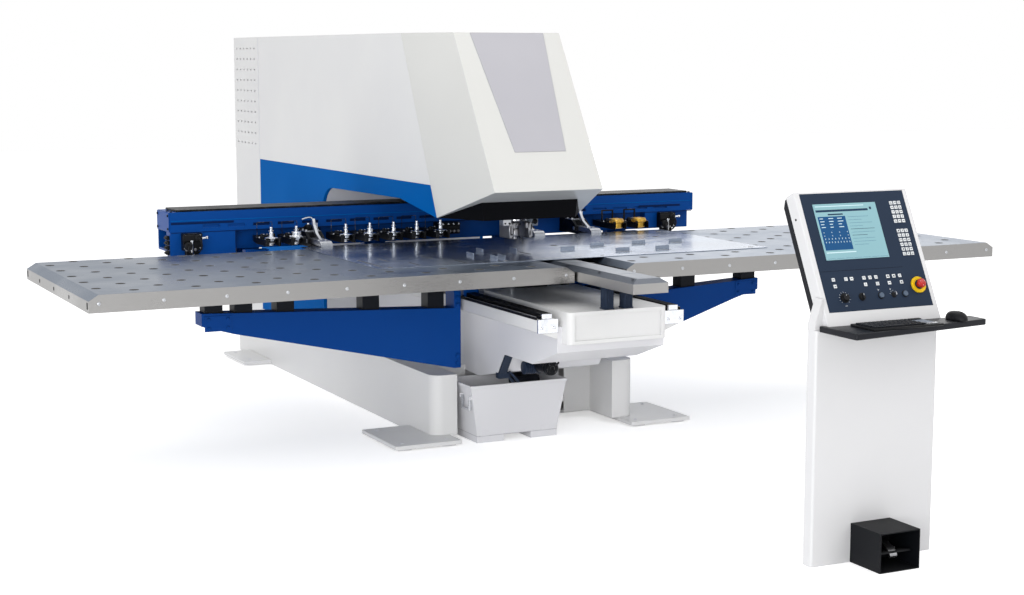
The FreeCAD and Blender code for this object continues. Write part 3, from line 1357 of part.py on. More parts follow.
c_frame()
base_cover()
foot_plates()
cabinet_cover()
side_panels()
inner_covers()
head_cover()
punching_head()
lower_arm_parts()
middle_table()
scrap_parts()
table_half("left", s.table_left, s.table_gap_left)
table_half("right", s.table_gap_right, s.table_right)
cantilever("left", -1, s.arm_left_end)
cantilever("right", 1, s.arm_right_end)
y_carriage()
table_supports()
x_carriage()
valve_units()
tool_stations()
clamps()
workpiece()
console()
controls()
desk()
foot_switch()
check_and_write()
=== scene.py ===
import itertools
import math
import random
import bmesh
import bpy
from mathutils import Matrix, Vector


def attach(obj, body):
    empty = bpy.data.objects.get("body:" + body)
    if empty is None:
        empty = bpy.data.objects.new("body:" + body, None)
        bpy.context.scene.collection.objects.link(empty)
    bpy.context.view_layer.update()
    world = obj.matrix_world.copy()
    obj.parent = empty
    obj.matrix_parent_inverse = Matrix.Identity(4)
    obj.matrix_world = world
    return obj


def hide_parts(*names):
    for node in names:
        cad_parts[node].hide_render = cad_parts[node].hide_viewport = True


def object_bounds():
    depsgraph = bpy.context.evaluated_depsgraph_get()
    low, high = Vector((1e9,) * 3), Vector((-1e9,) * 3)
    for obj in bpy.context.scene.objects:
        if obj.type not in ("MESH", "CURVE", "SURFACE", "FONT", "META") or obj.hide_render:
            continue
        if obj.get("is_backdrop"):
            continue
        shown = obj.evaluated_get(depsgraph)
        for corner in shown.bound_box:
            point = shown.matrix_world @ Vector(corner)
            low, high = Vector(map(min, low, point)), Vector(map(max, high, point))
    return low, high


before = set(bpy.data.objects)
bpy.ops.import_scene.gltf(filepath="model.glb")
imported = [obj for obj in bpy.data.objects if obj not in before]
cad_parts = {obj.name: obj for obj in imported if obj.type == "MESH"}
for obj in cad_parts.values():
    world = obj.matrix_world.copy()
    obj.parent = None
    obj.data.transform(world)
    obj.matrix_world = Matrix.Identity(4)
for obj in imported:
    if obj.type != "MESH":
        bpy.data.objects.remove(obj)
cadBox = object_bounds()
print("frame loaded with", len(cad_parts), "nodes")

# every place and size is written in millimetres; only the shaders, the lights and the camera keep metres
machineZero = {"x": -0.036, "y": 0.2435}


def at(x, y, z):
    # from millimetres on the machine to metres in the frame
    return Vector((x / 1000 + machineZero["x"], y / 1000 + machineZero["y"], z / 1000))


def spot(x, y, z):
    # an upright place at a point of the machine
    return Matrix.Translation(at(x, y, z))


machine = spot(0, 0, 0)


class Shape:
    # the points and faces of one piece, gathered from simple forms
    def __init__(self):
        self.points = []
        self.faces = []

    def take(self, points, faces):
        first = len(self.points)
        self.points += [Vector(p) for p in points]
        self.faces += [[first + i for i in face] for face in faces]

    def stamp(self, other, place):
        self.take([place @ p for p in other.points], other.faces)


def block(shape, centre, size, edge, place):
    # a block whose edges and corners are cut by a small chamfer
    half = [abs(v) / 2 for v in size]
    cut = min(edge, min(half) * 0.45)
    corners = list(itertools.product((-1, 1), repeat=3))
    points = []
    index = {}
    for corner in corners:
        for axis in range(3):
            reach = [half[n] if n == axis else half[n] - cut for n in range(3)]
            index[corner, axis] = len(points)
            points.append(Vector([corner[n] * reach[n] for n in range(3)]))

    def vertex(axis, along, u, v, owner):
        corner = [0, 0, 0]
        corner[axis], corner[(axis + 1) % 3], corner[(axis + 2) % 3] = along, u, v
        return index[tuple(corner), owner]

    faces = []
    for axis in range(3):
        b, c = (axis + 1) % 3, (axis + 2) % 3
        for side in (-1, 1):
            faces.append([vertex(axis, side, u, v, axis) for u, v in ((-1, -1), (1, -1), (1, 1), (-1, 1))])
        for u, v in itertools.product((-1, 1), repeat=2):
            chamfer = ((-1, b), (-1, c), (1, c), (1, b))
            faces.append([vertex(axis, along, u, v, owner) for along, owner in chamfer])
    for corner in corners:
        faces.append([index[corner, axis] for axis in range(3)])
    turned = []
    for face in faces:
        middle = sum((points[i] for i in face), Vector()) / len(face)
        normal = (points[face[1]] - points[face[0]]).cross(points[face[2]] - points[face[1]])
        turned.append(face if normal.dot(middle) > 0 else face[::-1])
    shape.take([place @ ((Vector(centre) + p) / 1000) for p in points], turned)


def between(shape, low, high, edge, place=machine):
    # a block from corner to corner
    low, high = Vector(low), Vector(high)
    block(shape, (low + high) / 2, high - low, edge, place)


def alongAxis(start, direction):
    # a matrix whose Z runs along the direction
    z = Vector(direction).normalized()
    side = Vector((0, 0, 1)) if abs(z.z) < 0.9 else Vector((1, 0, 0))
    x = side.cross(z).normalized()
    y = z.cross(x)
    turn = Matrix((x, y, z)).transposed().to_4x4()
    return Matrix.Translation(Vector(start)) @ turn


def lathe(shape, place, profile, sides=24):
    # profile runs as (radius, height) from the bottom outwards and up to the top
    points, rings = [], []
    for radius, height in profile:
        if radius == 0:
            rings.append([len(points)])
            points.append(place @ (Vector((0, 0, height)) / 1000))
            continue
        ring = []
        for i in range(sides):
            angle = math.tau * i / sides
            ring.append(len(points))
            x, y = radius * math.cos(angle), radius * math.sin(angle)
            points.append(place @ (Vector((x, y, height)) / 1000))
        rings.append(ring)
    faces = []
    for low, high in zip(rings, rings[1:]):
        for i in range(sides):
            j = (i + 1) % sides
            if len(low) == 1 and len(high) == 1:
                break
            if len(low) == 1:
                faces.append([low[0], high[j], high[i]])
            elif len(high) == 1:
                faces.append([low[i], low[j], high[0]])
            else:
                faces.append([low[i], low[j], high[j], high[i]])
    shape.take(points, faces)


def rod(shape, start, end, radius, sides=16):
    # a round bar between two points of the frame, its ends chamfered
    length = (end - start).length * 1000
    cut = min(0.6, radius * 0.4, length * 0.3)
    profile = [(0, 0), (radius - cut, 0), (radius, cut), (radius, length - cut),
               (radius - cut, length), (0, length)]
    lathe(shape, alongAxis(start, end - start), profile, sides)


def hexHead(shape, centre, direction, across, height):
    # a hexagon bolt head with a washer and a chamfered top
    place = alongAxis(centre, direction)
    lathe(shape, place,
          [(0, 0), (across * 0.72, 0), (across * 0.72, height * 0.2), (across * 0.5, height * 0.2)], 20)
    lathe(shape, place, [(across * 0.57, height * 0.18), (across * 0.57, height * 0.85),
                         (across * 0.48, height), (0, height)], 6)


def socketHead(shape, centre, direction, radius, height):
    # a cap screw with its hexagon socket
    place = alongAxis(centre, direction)
    lathe(shape, place,
          [(0, 0), (radius, 0), (radius, height * 0.85), (radius * 0.88, height), (radius * 0.5, height)], 18)
    lathe(shape, place, [(radius * 0.5, height), (radius * 0.5, height * 0.4), (0, height * 0.4)], 6)


def domeHead(shape, centre, direction, radius, height):
    # a flat round screw head with a small socket
    place = alongAxis(centre, direction)
    lathe(shape, place, [(0, 0), (radius, 0), (radius, height * 0.3), (radius * 0.8, height * 0.85),
                         (radius * 0.42, height)], 18)
    lathe(shape, place, [(radius * 0.42, height), (radius * 0.36, height * 0.45), (0, height * 0.45)], 6)


def smoothPath(points, step=8):
    # a smooth line through the given points
    pts = [Vector(p) for p in points]
    ends = [pts[0] * 2 - pts[1]] + pts + [pts[-1] * 2 - pts[-2]]
    line = []
    for a, b, c, d in zip(ends, ends[1:], ends[2:], ends[3:]):
        for i in range(step):
            t = i / step
            line.append(0.5 * ((2 * b) + (c - a) * t + (2 * a - 5 * b + 4 * c - d) * t * t
                               + (3 * b - a - 3 * c + d) * t ** 3))
    line.append(pts[-1])
    return line


def tube(shape, line, radius, sides=10):
    # a round tube along a line, closed at both ends
    count = len(line)
    side = None
    points, rings = [], []
    for i, p in enumerate(line):
        along = (line[min(i + 1, count - 1)] - line[max(i - 1, 0)]).normalized()
        if side is None:
            side = along.orthogonal().normalized()
        side = (side - along * side.dot(along)).normalized()
        other = along.cross(side)
        ring = []
        for k in range(sides):
            angle = math.tau * k / sides
            ring.append(len(points))
            points.append(p + (side * math.cos(angle) + other * math.sin(angle)) * radius / 1000)
        rings.append(ring)
    faces = [rings[0][::-1], rings[-1]]
    for low, high in zip(rings, rings[1:]):
        for k in range(sides):
            n = (k + 1) % sides
            faces.append([low[k], low[n], high[n], high[k]])
    shape.take(points, faces)


def wall(shape, outline, start, depth, place):
    # a flat outline in the place's XY plane, thickened along its Z from start
    count = len(outline)
    area = sum(outline[i - 1][0] * outline[i][1] - outline[i][0] * outline[i - 1][1] for i in range(count))
    order = outline if area > 0 else outline[::-1]
    low = [place @ (Vector((x, y, start)) / 1000) for x, y in order]
    high = [place @ (Vector((x, y, start + depth)) / 1000) for x, y in order]
    faces = [list(range(count))[::-1], list(range(count, 2 * count))]
    for i in range(count):
        j = (i + 1) % count
        faces.append([i, j, count + j, count + i])
    shape.take(low + high, faces)


# turns for a wall's outline: one drawn in Y and Z and thickened along X, and one drawn in X and Z
throughX = Matrix(((0, 0, 1, 0), (1, 0, 0, 0), (0, 1, 0, 0), (0, 0, 0, 1)))
throughY = Matrix(((1, 0, 0, 0), (0, 0, -1, 0), (0, 1, 0, 0), (0, 0, 0, 1)))


# the slot that each finish usually fills; a piece may name another one itself, but piece() only looks the
# slot up and keeps nothing
usualSlots = {
    "white_paint": ["whitePaint", "headPaint", "consolePaint"], "grey_paint": ["greyPaint", "insetPaint"],
    "blue_paint": ["bluePaint", "shadedArmBlue", "shadedRailBlue",
                   "slotShadeBlue"], "dark_paint": ["darkPaint", "slatePaint", "boxBlack"],
    "black_steel": ["blackSteel", "grooveBlack"], "bright_steel": ["brightSteel", "toolSteel"],
    "table_steel": ["apronSteel"], "clamp_steel": ["clampSteel"], "chrome": ["chrome"], "brass": ["brass"],
    "black_plastic": ["blackPlastic", "shelfPlastic", "rubber", "bristle"], "key_plastic": ["markWhite"],
    "red_plastic": ["redPlastic", "yellowPlastic"],
    "screen_glass": ["displayPale", "displayBlue", "displayWhite", "displayDark"],
}
slotOf = {look: slot for slot, looks in usualSlots.items() for look in looks}


def piece(name, shape, look, body, slot=None, crease=38):
    # turns a shape into an object that wears a finish and rides on a body
    mesh = bpy.data.meshes.new(name)
    mesh.from_pydata([tuple(p) for p in shape.points], [], shape.faces)
    mesh.validate()
    mesh.polygons.foreach_set("use_smooth", [True] * len(mesh.polygons))
    mesh.set_sharp_from_angle(angle=math.radians(crease))
    thing = bpy.data.objects.new(name, mesh)
    bpy.context.scene.collection.objects.link(thing)
    thing.data.materials.append(finish[look])
    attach(thing, body)
    slot or slotOf[look]
    return thing


def roundEdges(thing, width, segments, above=30):
    # bevels the edges that turn by more than the given degrees
    rounded = thing.modifiers.new("roundedEdges", "BEVEL")
    rounded.width = width / 1000
    rounded.segments = segments
    rounded.limit_method = "ANGLE"
    rounded.angle_limit = math.radians(above)


def tone(code):
    # a written sRGB colour as the linear one that a shader takes
    parts = [int(code[i:i + 2], 16) / 255 for i in (1, 3, 5)]
    linear = [c / 12.92 if c <= 0.04045 else ((c + 0.055) / 1.055) ** 2.4 for c in parts]
    return (*linear, 1.0)


def put(tree, kind, inputs=None, **settings):
    # adds a shader node, sets it, and wires or fills its inputs
    node = tree.nodes.new(kind)
    for key, value in settings.items():
        setattr(node, key, value)
    for key, value in (inputs or {}).items():
        if isinstance(value, bpy.types.NodeSocket):
            tree.links.new(value, node.inputs[key])
        else:
            node.inputs[key].default_value = value
    return node


def work(tree, operation, first, second=0.5):
    return put(tree, "ShaderNodeMath", {0: first, 1: second}, operation=operation).outputs[0]


def blendColour(tree, share, first, second):
    return put(tree, "ShaderNodeMix", {0: share, 6: first, 7: second}, data_type="RGBA").outputs[2]


def spread(tree, source, low, high, bottom=0.0, top=1.0):
    # maps the source from low..high to bottom..top
    node = put(tree, "ShaderNodeMapRange", {0: source, 1: low, 2: high, 3: bottom, 4: top})
    return node.outputs[0]


def startGroup(name, inputs, outputs):
    # a node group with its sockets, and the sockets as seen from inside
    tree = bpy.data.node_groups.new(name, "ShaderNodeTree")
    for label, kind, value in inputs:
        socket = tree.interface.new_socket(label, in_out="INPUT", socket_type=kind)
        socket.default_value = value
    for label, kind in outputs:
        tree.interface.new_socket(label, in_out="OUTPUT", socket_type=kind)
    return tree, put(tree, "NodeGroupInput").outputs, put(tree, "NodeGroupOutput").inputs


number, colour, vector = "NodeSocketFloat", "NodeSocketColor", "NodeSocketVector"


def makeEdgeGroup():
    # rounds hard edges in the shading and finds where paint would rub thin
    tree, given, result = startGroup(
        "softEdges", [("Radius", number, 0.002), ("Scale", number, 30.0)],
        [("Normal", vector), ("Wear", number)])
    rounded = put(tree, "ShaderNodeBevel", {"Radius": given["Radius"]}, samples=4).outputs[0]
    flat = put(tree, "ShaderNodeNewGeometry").outputs["Normal"]
    match = put(tree, "ShaderNodeVectorMath", {0: rounded, 1: flat}, operation="DOT_PRODUCT").outputs["Value"]
    edge = spread(tree, match, 0.999, 0.90)
    place = put(tree, "ShaderNodeTexCoord").outputs["Object"]
    spots = put(tree, "ShaderNodeTexNoise",
                {"Vector": place, "Scale": given["Scale"], "Detail": 4.0}).outputs["Fac"]
    tree.links.new(rounded, result["Normal"])
    tree.links.new(work(tree, "MULTIPLY", edge, spread(tree, spots, 0.48, 0.62)), result["Wear"])
    return tree


def makeSkinGroup():
    # the fine orange peel of sprayed paint and its slow drift of tone
    tree, given, result = startGroup(
        "sprayedSkin", [("Peel Scale", number, 420.0), ("Drift Scale", number, 1.3)],
        [("Height", number), ("Drift", number), ("Specks", number)])
    place = put(tree, "ShaderNodeTexCoord").outputs["Object"]
    peel = put(tree, "ShaderNodeTexNoise", {"Vector": place, "Scale": given["Peel Scale"], "Detail": 2.0})
    drift = put(tree, "ShaderNodeTexNoise", {"Vector": place, "Scale": given["Drift Scale"], "Detail": 3.0})
    dots = put(tree, "ShaderNodeTexVoronoi", {"Vector": place, "Scale": given["Peel Scale"]})
    tree.links.new(peel.outputs["Fac"], result["Height"])
    tree.links.new(spread(tree, drift.outputs["Fac"], 0.3, 0.7), result["Drift"])
    tree.links.new(spread(tree, dots.outputs["Distance"], 0.12, 0.05), result["Specks"])
    return tree


def makeGrainGroup():
    # long grain of brushed or rolled metal, with a stretch along each axis
    tree, given, result = startGroup(
        "brushedGrain", [("Stretch", vector, (1.0, 40.0, 40.0)), ("Scale", number, 12.0)],
        [("Height", number), ("Streaks", number), ("Smudges", number)])
    place = put(tree, "ShaderNodeTexCoord").outputs["Object"]
    long = put(tree, "ShaderNodeVectorMath", {0: place, 1: given["Stretch"]}, operation="MULTIPLY").outputs[0]
    fine = put(tree, "ShaderNodeTexNoise",
               {"Vector": long, "Scale": given["Scale"], "Detail": 5.0, "Roughness": 0.7})
    wide = put(tree, "ShaderNodeTexNoise", {"Vector": place, "Scale": 2.6, "Detail": 5.0, "Distortion": 0.6})
    tree.links.new(fine.outputs["Fac"], result["Height"])
    tree.links.new(spread(tree, fine.outputs["Fac"], 0.32, 0.68), result["Streaks"])
    tree.links.new(spread(tree, wide.outputs["Fac"], 0.35, 0.7), result["Smudges"])
    return tree


def makeDustGroup():
    # dust that lies on faces that look up, thicker in patches
    tree, given, result = startGroup("settledDust", [("Amount", number, 0.2)], [("Mask", number)])
    facing = put(tree, "ShaderNodeSeparateXYZ", {0: put(tree, "ShaderNodeNewGeometry").outputs["Normal"]})
    place = put(tree, "ShaderNodeTexCoord").outputs["Object"]
    patches = put(tree, "ShaderNodeTexNoise", {"Vector": place, "Scale": 7.0, "Detail": 6.0}).outputs["Fac"]
    lying = spread(tree, facing.outputs["Z"], 0.6, 1.0)
    mask = work(tree, "MULTIPLY", lying, spread(tree, patches, 0.4, 0.75))
    tree.links.new(work(tree, "MULTIPLY", mask, given["Amount"]), result["Mask"])
    return tree


softEdges = makeEdgeGroup()
sprayedSkin = makeSkinGroup()
brushedGrain = makeGrainGroup()
settledDust = makeDustGroup()
print("shader groups made")


def startMaterial(name, **fixed):
    # fixed values go on the shader's own sockets
    material = bpy.data.materials.new(name)
    material.use_nodes = True
    tree = material.node_tree
    shader = next(n for n in tree.nodes if n.bl_idname == "ShaderNodeBsdfPrincipled")
    for label, value in fixed.items():
        shader.inputs[label.replace("_", " ")].default_value = value
    return material, tree, shader


def group(tree, made, **inputs):
    # one of the groups above in a material, with its inputs filled
    node = put(tree, "ShaderNodeGroup")
    node.node_tree = made
    for label, value in inputs.items():
        node.inputs[label.replace("_", " ")].default_value = value
    return node.outputs


dustTone = {"paint": "#b9b6ae", "metal": "#8d8a83", "plastic": "#9a978f"}


def dustOver(tree, base, amount, code):
    lying = group(tree, settledDust, Amount=amount)
    return blendColour(tree, lying["Mask"], base, tone(code))


def raiseGrain(tree, shader, height, edges, strength, distance):
    # a shallow bump laid over the softened edges
    rise = put(tree, "ShaderNodeBump", {"Strength": strength, "Distance": distance, "Height": height,
                                        "Normal": edges["Normal"]})
    tree.links.new(rise.outputs[0], shader.inputs["Normal"])


def paint(name, main, shade, worn, rough=0.38, peel=0.02, edge=0.0025, wear=0.25, dust=0.1, coat=0.2,
          gloss=0.4):
    # sprayed machine paint: orange peel, slow drift of tone, rubbed edges, a little dust
    material, tree, shader = startMaterial(name, Coat_Weight=coat, Coat_Roughness=0.2,
                                           Specular_IOR_Level=gloss)
    skin = group(tree, sprayedSkin)
    edges = group(tree, softEdges, Radius=edge)
    base = blendColour(tree, skin["Drift"], tone(main), tone(shade))
    rubbed = blendColour(tree, work(tree, "MULTIPLY", edges["Wear"], wear), base, tone(worn))
    tree.links.new(dustOver(tree, rubbed, dust, dustTone["paint"]), shader.inputs["Base Color"])
    tree.links.new(spread(tree, skin["Drift"], 0.0, 1.0, rough, rough + 0.08), shader.inputs["Roughness"])
    raiseGrain(tree, shader, skin["Height"], edges, peel * 4, 0.0006)
    return material


def metal(name, main, shade, rough=0.3, stretch=(1.0, 40.0, 40.0), scale=12.0, bump=0.05, edge=0.0015,
          smudge=0.12, metallic=1.0, dust=0.0, sides=None):
    # bare metal with a directed grain, handling marks and brighter edges; sides is the tone given to upright
    # faces, so tops and sides of one steel differ: partly their own finishes, partly painted light and
    # reflection
    material, tree, shader = startMaterial(name, Metallic=metallic)
    grain = group(tree, brushedGrain, Stretch=stretch, Scale=scale)
    edges = group(tree, softEdges, Radius=edge)
    streaked = blendColour(tree, grain["Streaks"], tone(main), tone(shade))
    shining = blendColour(tree, work(tree, "MULTIPLY", edges["Wear"], 0.35), streaked, tone("#e8e8e8"))
    # upright faces take the sides tone by their normal: painted light on the sides, partly their own finish
    if sides:
        facing = put(tree, "ShaderNodeSeparateXYZ", {0: put(tree, "ShaderNodeNewGeometry").outputs["Normal"]})
        upright = spread(tree, work(tree, "ABSOLUTE", facing.outputs["Z"]), 0.75, 0.45)
        shining = blendColour(tree, upright, shining, tone(sides))
    if dust:
        shining = dustOver(tree, shining, dust, dustTone["metal"])
    tree.links.new(shining, shader.inputs["Base Color"])
    marks = work(tree, "MULTIPLY", grain["Smudges"], smudge)
    fine = work(tree, "MULTIPLY", grain["Streaks"], 0.08)
    tree.links.new(work(tree, "ADD", work(tree, "ADD", marks, fine), rough), shader.inputs["Roughness"])
    raiseGrain(tree, shader, grain["Height"], edges, bump, 0.0004)
    return material


def plastic(name, main, shade, rough=0.4, grain=900.0, bump=0.12, edge=0.0012, coat=0.0, dust=0.03,
            gloss=0.16):
    # moulded plastic or rubber with a fine leathery grain
    material, tree, shader = startMaterial(name, Coat_Weight=coat, Coat_Roughness=0.12,
                                           Specular_IOR_Level=gloss)
    skin = group(tree, sprayedSkin, Peel_Scale=grain, Drift_Scale=9.0)
    edges = group(tree, softEdges, Radius=edge)
    base = blendColour(tree, skin["Drift"], tone(main), tone(shade))
    tree.links.new(dustOver(tree, base, dust, dustTone["plastic"]), shader.inputs["Base Color"])
    tree.links.new(spread(tree, skin["Height"], 0.3, 0.7, rough, rough + 0.12), shader.inputs["Roughness"])
    raiseGrain(tree, shader, skin["Height"], edges, bump, 0.0003)
    return material


def glowing(name, main, shade, strength):
    # a lit part of the display, with the faint lines of its pixels
    material, tree, shader = startMaterial(name, Roughness=0.3, Emission_Strength=strength,
                                           Specular_IOR_Level=0.1)
    place = put(tree, "ShaderNodeTexCoord").outputs["Object"]
    lines = put(tree, "ShaderNodeTexWave", {"Vector": place, "Scale": 160.0, "Distortion": 0.0},
                bands_direction="Z").outputs["Fac"]
    cloud = put(tree, "ShaderNodeTexNoise", {"Vector": place, "Scale": 6.0}).outputs["Fac"]
    lit = blendColour(tree, work(tree, "MULTIPLY", lines, 0.12), tone(main), tone(shade))
    mixed = blendColour(tree, work(tree, "MULTIPLY", cloud, 0.25), lit, tone(shade))
    tree.links.new(mixed, shader.inputs["Base Color"])
    tree.links.new(mixed, shader.inputs["Emission Color"])
    return material


# the finishes, one row for each: main tone, second tone and, for paints, the tone of rubbed edges
finish = {
    "whitePaint": paint("whitePaint", "#e4e4e3", "#dededf", "#f6f6f4"),
    # the head cover's paint is the white paint painted darker: painted shade against the strong light on the
    # head's front
    "headPaint": paint("headPaint", "#d6d6d3", "#d2d2cf", "#efefec"),
    "consolePaint": paint("consolePaint", "#d9d9da", "#d4d4d6", "#f0f0f0"),
    "insetPaint": paint("insetPaint", "#b6b5bb", "#b0afb6", "#cfced4", rough=0.45),
    "bluePaint": paint("bluePaint", "#0062b2", "#005aa6", "#2f78bd", rough=0.5, coat=0.0, gloss=0.02,
                       dust=0.02),
    # the arms' blue is the panels' blue painted darker: painted shade for the arms under the table
    "shadedArmBlue": paint("shadedArmBlue", "#00428f", "#003c86", "#2c68ac", rough=0.42, coat=0.0, gloss=0.1,
                      dust=0.02),
    # the cross rail's blue is the panels' blue painted darker: painted shade
    "shadedRailBlue": paint("shadedRailBlue", "#004694", "#003f8a", "#3a76b8", rough=0.36, coat=0.0, gloss=0.12,
                       dust=0.03),
    "greyPaint": paint("greyPaint", "#e0e0e3", "#dadade", "#f0f0f0"),
    "darkPaint": paint("darkPaint", "#12151d", "#0e1118", "#343b46", rough=0.42, coat=0.0, gloss=0.12,
                       dust=0.02),
    "slatePaint": paint("slatePaint", "#202c40", "#1a2536", "#4a5a72", rough=0.4, coat=0.0, gloss=0.15,
                        dust=0.0),
    "boxBlack": paint("boxBlack", "#07080c", "#050609", "#23262c", rough=0.5, coat=0.0, gloss=0.06, dust=0.0),
    # the rail blue painted darker still: painted shade in the rail's slots and along the shaded lines of its
    # face
    "slotShadeBlue": paint("slotShadeBlue", "#04204f", "#031b45", "#123c78", rough=0.5, coat=0.0, gloss=0.08,
                       dust=0.0),
    "panelPaint": paint("panelPaint", "#233145", "#1f2c3f", "#53627a", rough=0.5, peel=0.01, coat=0.0,
                        gloss=0.12, dust=0.0),
    "boxPaint": paint("boxPaint", "#0e1015", "#0a0c10", "#2c3038", rough=0.5, wear=0.3, coat=0.0, gloss=0.14,
                      dust=0.02),
    # the table's tops are painted darker and bluer, a painted reflection of the blue rail, and its upright
    # faces lighter: painted light, partly the aprons' own brushed finish
    "tableSteel": metal("tableSteel", "#6c7889", "#616c7c", rough=0.24, stretch=(1.0, 30.0, 30.0), dust=0.03,
                        sides="#959493"),
    "apronSteel": metal("apronSteel", "#b4b1ae", "#a5a29f", rough=0.42, stretch=(0.6, 40.0, 60.0),
                        smudge=0.05),
    # the middle table likewise: its top painted darker and bluer as a painted reflection, its sides lighter
    # as painted light
    "middleSteel": metal("middleSteel", "#6b717b", "#5f656f", rough=0.3, stretch=(30.0, 1.0, 30.0),
                         sides="#a3a2a1"),
    "brightSteel": metal("brightSteel", "#c9cbcf", "#aeb1b6", rough=0.22, stretch=(20.0, 20.0, 20.0),
                         scale=20.0),
    "clampSteel": metal("clampSteel", "#b4b7bd", "#9a9ea6", rough=0.3, stretch=(30.0, 4.0, 30.0), scale=10.0),
    "chrome": metal("chrome", "#e2e4e8", "#cfd2d8", rough=0.07, stretch=(3.0, 3.0, 3.0), bump=0.0,
                    smudge=0.05),
    "sheetSteel": metal("sheetSteel", "#a9b2c0", "#949dac", rough=0.16, stretch=(1.0, 25.0, 25.0),
                        smudge=0.1),
    "toolSteel": metal("toolSteel", "#a8a8ab", "#86878b", rough=0.25, stretch=(4.0, 4.0, 60.0), scale=18.0),
    "brass": metal("brass", "#c9a24a", "#a9822f", rough=0.26, stretch=(4.0, 4.0, 50.0), scale=16.0),
    "blackSteel": metal("blackSteel", "#17191d", "#0e0f12", rough=0.42, stretch=(8.0, 8.0, 8.0), metallic=0.8,
                        dust=0.05),
    "grooveBlack": plastic("grooveBlack", "#08090b", "#050607", rough=0.7, bump=0.05),
    "blackPlastic": plastic("blackPlastic", "#17181b", "#101114", rough=0.42),
    "shelfPlastic": plastic("shelfPlastic", "#10131b", "#0c0e15", rough=0.34, grain=1200.0, bump=0.08,
                            gloss=0.2),
    "keyPlastic": plastic("keyPlastic", "#e3e6e8", "#d4d8db", rough=0.4, dust=0.0),
    "greyPlastic": plastic("greyPlastic", "#8b93a0", "#7e8693", rough=0.35),
    "redPlastic": plastic("redPlastic", "#c22a22", "#a81f1a", rough=0.3, coat=0.4, dust=0.0),
    "yellowPlastic": plastic("yellowPlastic", "#efc61c", "#dcb20f", rough=0.38, dust=0.0),
    "rubber": plastic("rubber", "#1b1b1d", "#131315", rough=0.75, bump=0.25),
    "bristle": plastic("bristle", "#55524e", "#35332f", rough=0.9, grain=2600.0, bump=0.9, dust=0.0),
    "markWhite": plastic("markWhite", "#dfe3e6", "#cfd4d8", rough=0.5, bump=0.0, dust=0.0),
    "buttonPlastic": plastic("buttonPlastic", "#566476", "#4d5a6c", rough=0.35, dust=0.0),
    "displayPale": glowing("displayPale", "#86aeb6", "#7ba5ae", 0.12),
    "displayBlue": glowing("displayBlue", "#0b4a7a", "#08406d", 0.12),
    "displayWhite": glowing("displayWhite", "#c6dde1", "#b4d0d6", 0.16),
    "displayDark": glowing("displayDark", "#12314c", "#0e2740", 0.1),
}
print("materials made:", len(finish))

# which finish each piece of the frame wears
nodeFinish = {
    "whitePaint": ["base_cover", "rear_cabinet", "side_panel_left", "side_panel_right", "top_cover",
                   "nose_cover", "throat_liner", "guide_bars", "foot_plates"],
    "consolePaint": ["console_housing", "console_pillar"],
    "headPaint": ["head_cover"],
    "insetPaint": ["head_inlay"],
    "bluePaint": ["blue_panel_left", "blue_panel_right"],
    "shadedArmBlue": ["cantilever_left", "cantilever_right"],
    "shadedRailBlue": ["cross_rail", "carriage_frame"],
    "greyPaint": ["scrap_bin", "c_frame"],
    "boxBlack": ["head_box"],
    "darkPaint": ["middle_table_posts", "table_supports", "scrap_chute"],
    "panelPaint": ["operator_plate"],
    "boxPaint": ["pedal_box"],
    "tableSteel": ["table_left", "table_right"],
    "middleSteel": ["middle_table"],
    "brightSteel": ["x_rails", "bin_handle", "die_holder", "clamp_jaw_1", "clamp_jaw_2", "clamp_jaw_3"],
    "chrome": ["ram", "guide_end_caps"],
    "sheetSteel": ["workpiece_sheet"],
    "toolSteel": ["punch_tools", "punch_tool", "die"],
    "brass": ["rotation_tools"],
    "blackSteel": ["y_rails", "rail_top_strip", "valve_units", "tool_cassettes", "clamp_bodies"],
    "blackPlastic": ["keyboard", "mouse", "override_dial", "mode_knob", "foot_pedal", "key_switch"],
    "shelfPlastic": ["console_shelf"],
    "keyPlastic": ["panel_keys"],
    "buttonPlastic": ["start_button", "halt_button"],
    "redPlastic": ["stop_button"],
    "displayPale": ["screen"],
}
for label, names in nodeFinish.items():
    for name in names:
        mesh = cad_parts[name].data
        mesh.materials.clear()
        mesh.materials.append(finish[label])
        mesh.polygons.foreach_set("material_index", [0] * len(mesh.polygons))
covered = {name for names in nodeFinish.values() for name in names}
print("nodes without a finish:", sorted(set(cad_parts) - covered))


def stampAll(name, template, places, look, body, slot=None):
    # one piece made of a copy of the template at every place
    shape = Shape()
    for place in places:
        shape.stamp(template, place)
    return piece(name, shape, look, body, slot)


def turnsOf(place, count):
    # the place turned about its own axis, count times round
    return [place @ Matrix.Rotation(math.tau * i / count, 4, "Z") for i in range(count)]


rng = random.Random(41)

# the travelling table: brush inserts, screws, end holes, ribs below and the black lips of the middle gap
table = {"leftEnd": -2481, "leftGap": -96, "rightGap": 200, "rightEnd": 2553, "front": -999, "back": 351,
         "top": 949,
         "brush": 26, "leftColumn": -2396.8, "rightColumn": 142, "columnPitch": 140.8, "rowPitch": 245,
         "rowStarts": (-783, -900), "leftMargin": 75, "rightMargin": 55, "rearMargin": 25,
         "screwHeight": 909, "screwCount": 9, "screwRuns": ((-2435, 286.6), (243, 283.1)),
         "holeHeight": 895, "holeLines": (-611, -287, 37), "cornerLines": (-975, 327), "cornerSink": 0.7,
         "ribCount": 5, "ribHalf": 14, "lipHalf": 1.2}


def brushPlaces(low, high, first):
    # staggered columns of brushes between two edges of the table
    column = 0
    x = first
    while x < high - table["rightMargin"]:
        if x > low + table["leftMargin"]:
            y = table["rowStarts"][column % 2]
            while y < table["back"] - table["rearMargin"]:
                yield x, y
                y += table["rowPitch"]
        x += table["columnPitch"]
        column += 1


